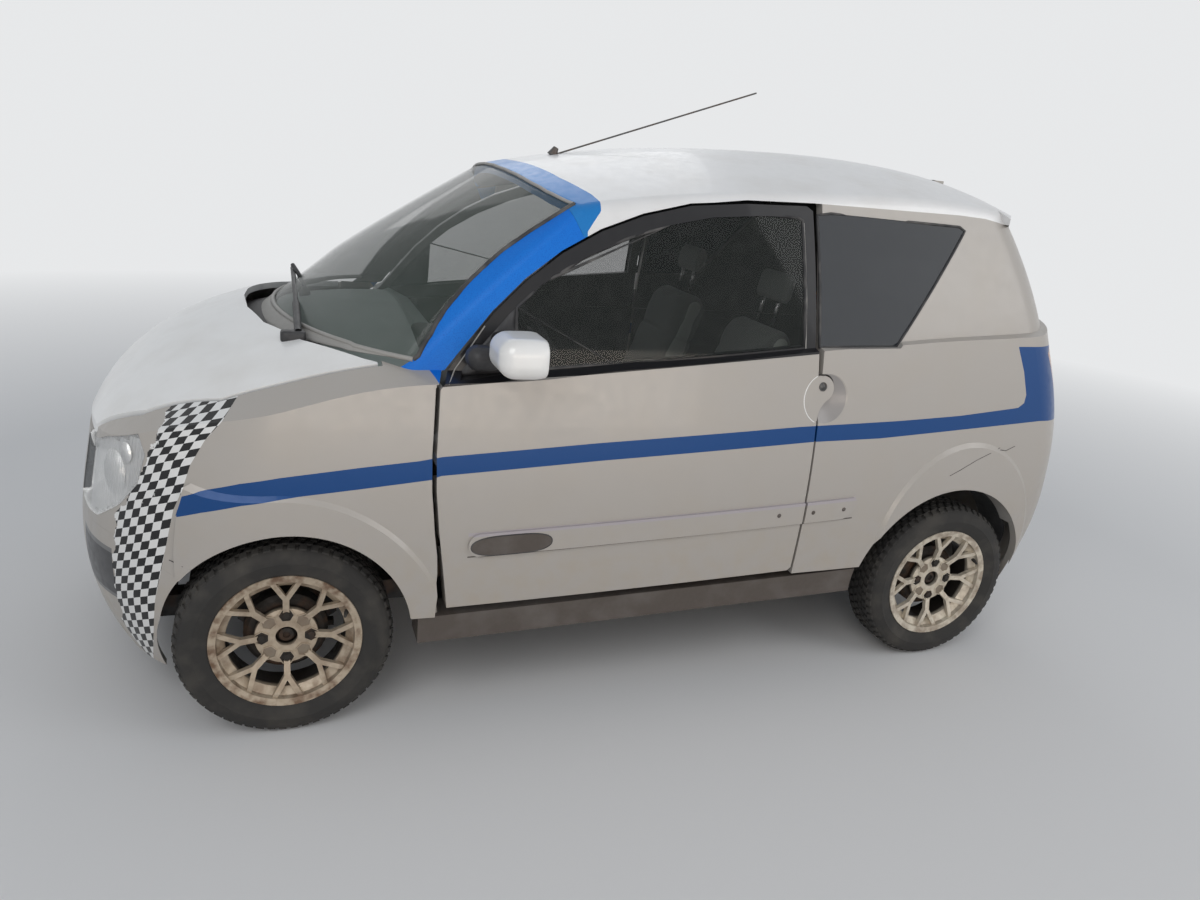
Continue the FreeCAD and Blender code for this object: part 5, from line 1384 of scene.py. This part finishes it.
# The side bolsters and their seams start at this share of half the width.
BOLSTER_FROM = 0.67
BOLSTER_SEAM = 0.66
RAIL_Y = 0.165
RAIL_FEET_X = (-0.05, 0.33)
POST_Y = 0.045


def swell(piece, cap):
    """Fills a pad like a cushion by a short cloth simulation."""
    start = bpy.context.scene.frame_current
    remesh = piece.modifiers.new("remesh", "REMESH")
    remesh.mode = "VOXEL"
    remesh.voxel_size = SEAT_VOXEL
    bpy.context.view_layer.objects.active = piece
    bpy.ops.object.modifier_apply(modifier=remesh.name)
    rest = [v.co.copy() for v in piece.data.vertices]
    cloth = piece.modifiers.new("cloth", "CLOTH")
    cloth.settings.use_pressure = True
    cloth.settings.uniform_pressure_force = 4.0
    cloth.settings.effector_weights.gravity = 0.0
    cloth.settings.quality = 4
    cloth.point_cache.frame_start = 1
    cloth.point_cache.frame_end = SWELL_FRAMES
    for step in range(1, SWELL_FRAMES + 1):
        bpy.context.scene.frame_set(step)
    bpy.ops.object.modifier_apply(modifier=cloth.name)
    for vertex, before in zip(piece.data.vertices, rest):
        moved = vertex.co - before
        if moved.length > cap:
            vertex.co = before + moved.normalized() * cap
    bpy.context.scene.frame_set(start)


def press_seams(piece, lines, depth=0.007, width=0.007):
    """Sinks the surface along seams, each given as an axis and a place along it."""
    mesh = piece.data
    normals = [v.normal.copy() for v in mesh.vertices]
    for vertex, normal in zip(mesh.vertices, normals):
        sink = 0.0
        for axis, place in lines:
            away = abs(abs(vertex.co[axis]) - place) if axis == 1 else abs(vertex.co[axis] - place)
            sink = max(sink, math.exp(-(away / width) ** 2))
        vertex.co -= normal * depth * sink


def seat_pad(name, spot, half, lean, corner, taper):
    inner = Vector([h - SWELL_ROOM for h in half])
    piece = link_bmesh(name, rounded_slab(inner, corner, taper))
    swell(piece, SWELL_CAP)
    smooth = piece.modifiers.new("smooth", "SUBSURF")
    smooth.levels = 1
    smooth.render_levels = 1
    bpy.context.view_layer.objects.active = piece
    bpy.ops.object.modifier_apply(modifier=smooth.name)
    if name != "head":
        press_seams(piece, ((1, half[1] * BOLSTER_SEAM), (0, -half[0] * 0.30), (0, half[0] * 0.34)))
    else:
        press_seams(piece, ((1, half[1] * 0.80),))
    turn = Matrix.Rotation(-math.radians(lean), 4, "Y")
    piece.data.transform(Matrix.Translation(Vector((spot[0], SEAT_Y, spot[1]))) @ turn)
    return piece


def seats():
    for name, spot, half, lean, corner, taper in PADS:
        left = seat_pad(name, spot, half, lean, corner, taper)
        right = bpy.data.objects.new(name + "_right", left.data.copy())
        right.data.transform(Matrix.Diagonal((1, -1, 1, 1)))
        right.data.flip_normals()
        bpy.context.scene.collection.objects.link(right)
        for side_name, piece in (("left", left), ("right", right)):
            node = "seat_" + side_name
            dress(piece, "seat_%s_%s" % (name, side_name), body_of[node], "seat_cloth")
            if name != "head":
                piece.data.materials.append(MATERIALS["seat_pale"])
                middle = SIDES[side_name] * abs(SEAT_Y)
                for face in piece.data.polygons:
                    if abs(face.center.y - middle) > half[1] * BOLSTER_FROM:
                        face.material_index = 1
            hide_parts(node)
    for side_name, side in SIDES.items():
        body = body_of["seat_" + side_name]
        y = side * abs(SEAT_Y)
        work = bmesh.new()
        for across in (-POST_Y, POST_Y):
            foot = facing((0.468, y + across, 1.000), (0.13, 0, 0.99))
            add_lathe(work, foot, ((0.0055, 0.0), (0.0055, 0.09)), 16)
        dress_bmesh(work, "seat_posts_" + side_name, body, "steel", "chrome")
        work = bmesh.new()
        for across in (-RAIL_Y, RAIL_Y):
            add_block(work, moved(0.150, y + across, 0.268), (0.46, 0.030, 0.028), 0.004)
            for x in RAIL_FEET_X:
                add_block(work, moved(x, y + across, 0.340), (0.035, 0.022, 0.130), 0.004)
            hinge = facing((0.410, y + across * 1.22, 0.470), (0.14, 0, 0.99))
            add_block(work, hinge, (0.012, 0.055, 0.150), 0.004)
        add_block(work, moved(0.140, y, 0.405), (0.42, 0.38, 0.030), 0.008)
        dress_bmesh(work, "seat_frame_" + side_name, body, "steel", "dark_plastic")


seats()


# Steering wheel

WHEEL_TILT = math.radians(33)
WHEEL_CENTRE = (-0.262, -0.300, 0.925)
WHEEL_RADIUS = 0.166
WHEEL_GRIP = 0.0138
WHEEL_STEPS = 72
GRIP_STEPS = 16
WHEEL_ARM = (0.120, 0.030, 0.012)


def steering_wheel():
    axis = Vector((math.cos(WHEEL_TILT), 0, math.sin(WHEEL_TILT)))
    place = facing(WHEEL_CENTRE, axis, Vector((0, 1, 0)))
    work = bmesh.new()
    ring = []
    for i in range(WHEEL_STEPS):
        turn = 2 * math.pi * i / WHEEL_STEPS
        row = []
        for k in range(GRIP_STEPS):
            bend = 2 * math.pi * k / GRIP_STEPS
            reach = WHEEL_RADIUS + WHEEL_GRIP * math.cos(bend)
            spot = Vector((reach * math.cos(turn), reach * math.sin(turn), WHEEL_GRIP * math.sin(bend)))
            row.append(work.verts.new(place @ spot))
        ring.append(row)
    for i in range(WHEEL_STEPS):
        for k in range(GRIP_STEPS):
            j = (i + 1) % WHEEL_STEPS
            m = (k + 1) % GRIP_STEPS
            work.faces.new((ring[i][k], ring[j][k], ring[j][m], ring[i][m]))
    for turn in (0, 90, 180, 270):
        spin = Matrix.Rotation(math.radians(turn), 4, "Z")
        arm = place @ spin @ moved(0.098, 0, -0.010)
        add_block(work, arm, WHEEL_ARM, 0.004)
    add_block(work, place @ moved(0, 0, -0.006), (0.086, 0.092, 0.030), 0.012, 3)
    add_lathe(work, place, ((0.040, -0.030), (0.042, -0.006)), 32)
    piece = dress_bmesh(work, "steering_wheel_cover", body_of["steering_wheel"], "dark_plastic")
    piece.data.set_sharp_from_angle(angle=math.radians(40))
    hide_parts("steering_wheel")


steering_wheel()


# Dashboard and controls

VENT_Y = 0.535
SLAT_Y = 0.060
SLAT_PITCH = 0.011
LEVER_LEAN = (-0.12, 0, 1)
# (radius, height) profiles of the turned pieces.
VENT = ((0.040, -0.010), (0.040, 0.008), (0.032, 0.010))
DIAL = ((0.046, -0.004), (0.046, 0.004), (0.040, 0.005))
LEVER = ((0.007, 0.0), (0.006, 0.170))
KNOB = ((0.008, 0.0), (0.020, 0.014), (0.024, 0.028), (0.018, 0.042), (0.006, 0.046))


def dashboard():
    work = bmesh.new()
    add_block(work, moved(-0.545, -0.300, 0.918), (0.100, 0.300, 0.050), 0.018, 3)
    add_block(work, moved(-0.515, 0.0, 0.720), (0.090, 0.240, 0.220), 0.012, 2)
    for y in (-VENT_Y, VENT_Y):
        add_lathe(work, facing((-0.470, y, 0.850), (0.92, 0, 0.30)), VENT, 32)
    dress_bmesh(work, "dash_mouldings", "body", "grey_plastic", "dark_plastic")
    work = bmesh.new()
    for y in (-SLAT_Y, SLAT_Y):
        for k in range(4):
            slat = moved(-0.468, y, 0.775 + SLAT_PITCH * k) @ Matrix.Rotation(0.4, 4, "Y")
            add_block(work, slat, (0.010, 0.085, 0.002))
    add_block(work, moved(-0.452, 0.330, 0.760), (0.012, 0.330, 0.120), 0.005)
    dress_bmesh(work, "dash_vents_and_lid", "body", "grey_plastic")
    work = bmesh.new()
    add_lathe(work, facing((-0.493, -0.300, 0.915), (0.95, 0, 0.20)), DIAL, 40)
    dress_bmesh(work, "dash_dial", "body", "grey_plastic", "lamp_clear")
    work = bmesh.new()
    add_block(work, moved(-0.150, 0.0, 0.300), (0.420, 0.130, 0.095), 0.018, 3)
    add_lathe(work, facing((-0.200, 0.0, 0.340), LEVER_LEAN), LEVER, 16)
    add_lathe(work, facing((-0.2185, 0.0, 0.500), LEVER_LEAN), KNOB, 24)
    add_block(work, facing((0.060, 0.012, 0.372), (0.9, 0, 0.35)), (0.026, 0.024, 0.170), 0.009, 3)
    dress_bmesh(work, "console_and_levers", "body", "grey_plastic", "dark_plastic")


dashboard()


# Door linings

# (x, z) of the arm rest, the pocket and the winder's hub on the door's inner face.
ARM_REST = (-0.05, 0.640)
POCKET = (-0.16, 0.440)
WINDER_HUB = (-0.200, 0.600)
WINDER = ((0.022, -0.002), (0.022, 0.012), (0.016, 0.018))


def door_lining(side_name, side):
    door = "door_" + side_name
    inner = tree_of(door)

    def inside(place, off):
        """The door's inner face at a place of the side view, or a point off it towards the cabin."""
        x, z = place
        struck = inner.ray_cast(Vector((x, 0, z)), Vector((0, side, 0)))[0]
        return struck - Vector((0, side * off, 0))

    work = bmesh.new()
    add_block(work, moved(*inside(ARM_REST, 0.018)), (0.420, 0.040, 0.050), 0.014, 3)
    add_block(work, moved(*inside(POCKET, 0.012)), (0.480, 0.030, 0.110), 0.010, 2)
    dress_bmesh(work, "door_rest_" + side_name, body_of[door], "dark_plastic")
    work = bmesh.new()
    hub = inside(WINDER_HUB, 0.0)
    add_lathe(work, facing(hub, (0, -side, 0)), WINDER, 24)
    crank = facing(hub - Vector((-0.045, side * 0.016, 0.022)), (0.9, 0, -0.42), Vector((0, 1, 0)))
    add_block(work, crank, (0.018, 0.010, 0.110), 0.004)
    dress_bmesh(work, "door_winder_" + side_name, body_of[door], "dark_plastic")


for side_name, side in SIDES.items():
    door_lining(side_name, side)


# Cracks

# The left panel that each is in, and its (x, z) line in the side view.
CRACKS = (("quarter", ((0.917, 0.635), (0.955, 0.652), (1.011, 0.680), (1.060, 0.699), (1.103, 0.712))),
          ("quarter", ((1.103, 0.706), (1.130, 0.702), (1.164, 0.715))),
          ("wing", ((-1.200, 0.478), (-1.170, 0.470), (-1.140, 0.462))))
for count, (panel, line) in enumerate(CRACKS):
    tree = tree_of(panel + "_left")
    spots = [on_side(tree, x, z)[0] for x, z in line]
    path = [s for s in spots if s is not None]
    tube("crack_%d" % (count + 1), path, 0.0009, "body", "dark_plastic", "seal")


# Camera, floor and light

CAMERA_AT = Vector((-0.9853, -2.7202, 1.4528))
YAW, PITCH, ROLL = 0.373861, -0.319552, 0.098218
FOCAL_PIXELS, WIDTH_PIXELS, SENSOR = 901.46, 1200.0, 36.0
BACKDROP = (0.80, 0.81, 0.82)
SKY = (0.86, 0.92, 1.0)
SKY_STRENGTH = 0.42
WARM = (1.0, 0.87, 0.74)
# Each lamp's name, place, aim, size, power and, where it isn't white, colour.
STUDIO = (("key", (-3.0, -4.5, 4.5), (0, 0, 0.6), (3.5, 3.5), 95),
          ("fill", (4.0, -3.5, 3.0), (0, 0, 0.6), (3.0, 3.0), 45),
          ("back", (0.5, 4.5, 4.0), (0, 0, 0.8), (4.0, 3.0), 35),
          ("bounce", (0.2, -6.0, 1.0), (0, 0, 0.5), (5.0, 1.4), 55, WARM))


def place_camera():
    ahead = Vector((math.sin(YAW) * math.cos(PITCH), math.cos(YAW) * math.cos(PITCH), math.sin(PITCH)))
    right = ahead.cross(Vector((0, 0, 1))).normalized()
    up = right.cross(ahead)
    right_rolled = right * math.cos(ROLL) + up * math.sin(ROLL)
    up_rolled = up * math.cos(ROLL) - right * math.sin(ROLL)
    data = bpy.data.cameras.new("camera")
    data.sensor_width = SENSOR
    data.lens = FOCAL_PIXELS / WIDTH_PIXELS * SENSOR
    camera = bpy.data.objects.new("camera", data)
    bpy.context.scene.collection.objects.link(camera)
    turn = Matrix((right_rolled, up_rolled, -ahead)).transposed().to_4x4()
    camera.matrix_world = Matrix.Translation(CAMERA_AT) @ turn
    bpy.context.scene.camera = camera


def floor_material():
    """Pale floor that takes the shadow near the car and turns into the backdrop far from it."""
    material = new_material("floor_pale", (0.74, 0.735, 0.73), 0.85)
    n = Nodes(material)
    x, y, z = n.axes()
    radius = n.math("SQRT", n.math("ADD", n.math("MULTIPLY", x, x), n.math("MULTIPLY", y, y)))
    far = n.ramp(radius, 2.6, 7.0)
    glow = n.make("ShaderNodeEmission")
    glow.inputs["Color"].default_value = (*BACKDROP, 1.0)
    blend = n.make("ShaderNodeMixShader")
    out = n.tree.nodes["Material Output"]
    n.put(blend.inputs[0], far)
    n.link(n.shader.outputs[0], blend.inputs[1])
    n.link(glow.outputs[0], blend.inputs[2])
    n.link(blend.outputs[0], out.inputs["Surface"])
    n.bump(n.noise(35.0, 4.0), 0.05, 0.002)
    return material


def add_floor():
    bpy.ops.mesh.primitive_plane_add(size=80.0, location=(0, 0, 0))
    floor = bpy.context.object
    floor.name = "floor"
    floor.data.materials.append(floor_material())


def add_lamp(name, place, aim, size, power, colour=(1.0, 1.0, 1.0)):
    data = bpy.data.lights.new(name, "AREA")
    data.color = colour
    data.shape = "RECTANGLE"
    data.size, data.size_y = size
    data.energy = power
    lamp = bpy.data.objects.new(name, data)
    bpy.context.scene.collection.objects.link(lamp)
    lamp.location = place
    lamp.rotation_euler = (Vector(aim) - Vector(place)).to_track_quat("-Z", "Y").to_euler()


def light_world():
    world = bpy.data.worlds.new("studio")
    bpy.context.scene.world = world
    world.use_nodes = True
    tree = world.node_tree
    tree.nodes.clear()
    out = tree.nodes.new("ShaderNodeOutputWorld")
    seen = tree.nodes.new("ShaderNodeBackground")
    seen.inputs["Color"].default_value = (*BACKDROP, 1)
    lit = tree.nodes.new("ShaderNodeBackground")
    lit.inputs["Color"].default_value = (*SKY, 1)
    lit.inputs["Strength"].default_value = SKY_STRENGTH
    path = tree.nodes.new("ShaderNodeLightPath")
    links = tree.links
    direct = path.outputs["Is Camera Ray"]
    for ray in ("Is Glossy Ray", "Is Transmission Ray"):
        either = tree.nodes.new("ShaderNodeMath")
        either.operation = "MAXIMUM"
        links.new(direct, either.inputs[0])
        links.new(path.outputs[ray], either.inputs[1])
        direct = either.outputs[0]
    mix = tree.nodes.new("ShaderNodeMixShader")
    links.new(direct, mix.inputs[0])
    links.new(lit.outputs[0], mix.inputs[1])
    links.new(seen.outputs[0], mix.inputs[2])
    links.new(mix.outputs[0], out.inputs["Surface"])


place_camera()
add_floor()
for lamp in STUDIO:
    add_lamp(*lamp)
light_world()
bpy.context.scene.view_settings.view_transform = "Standard"
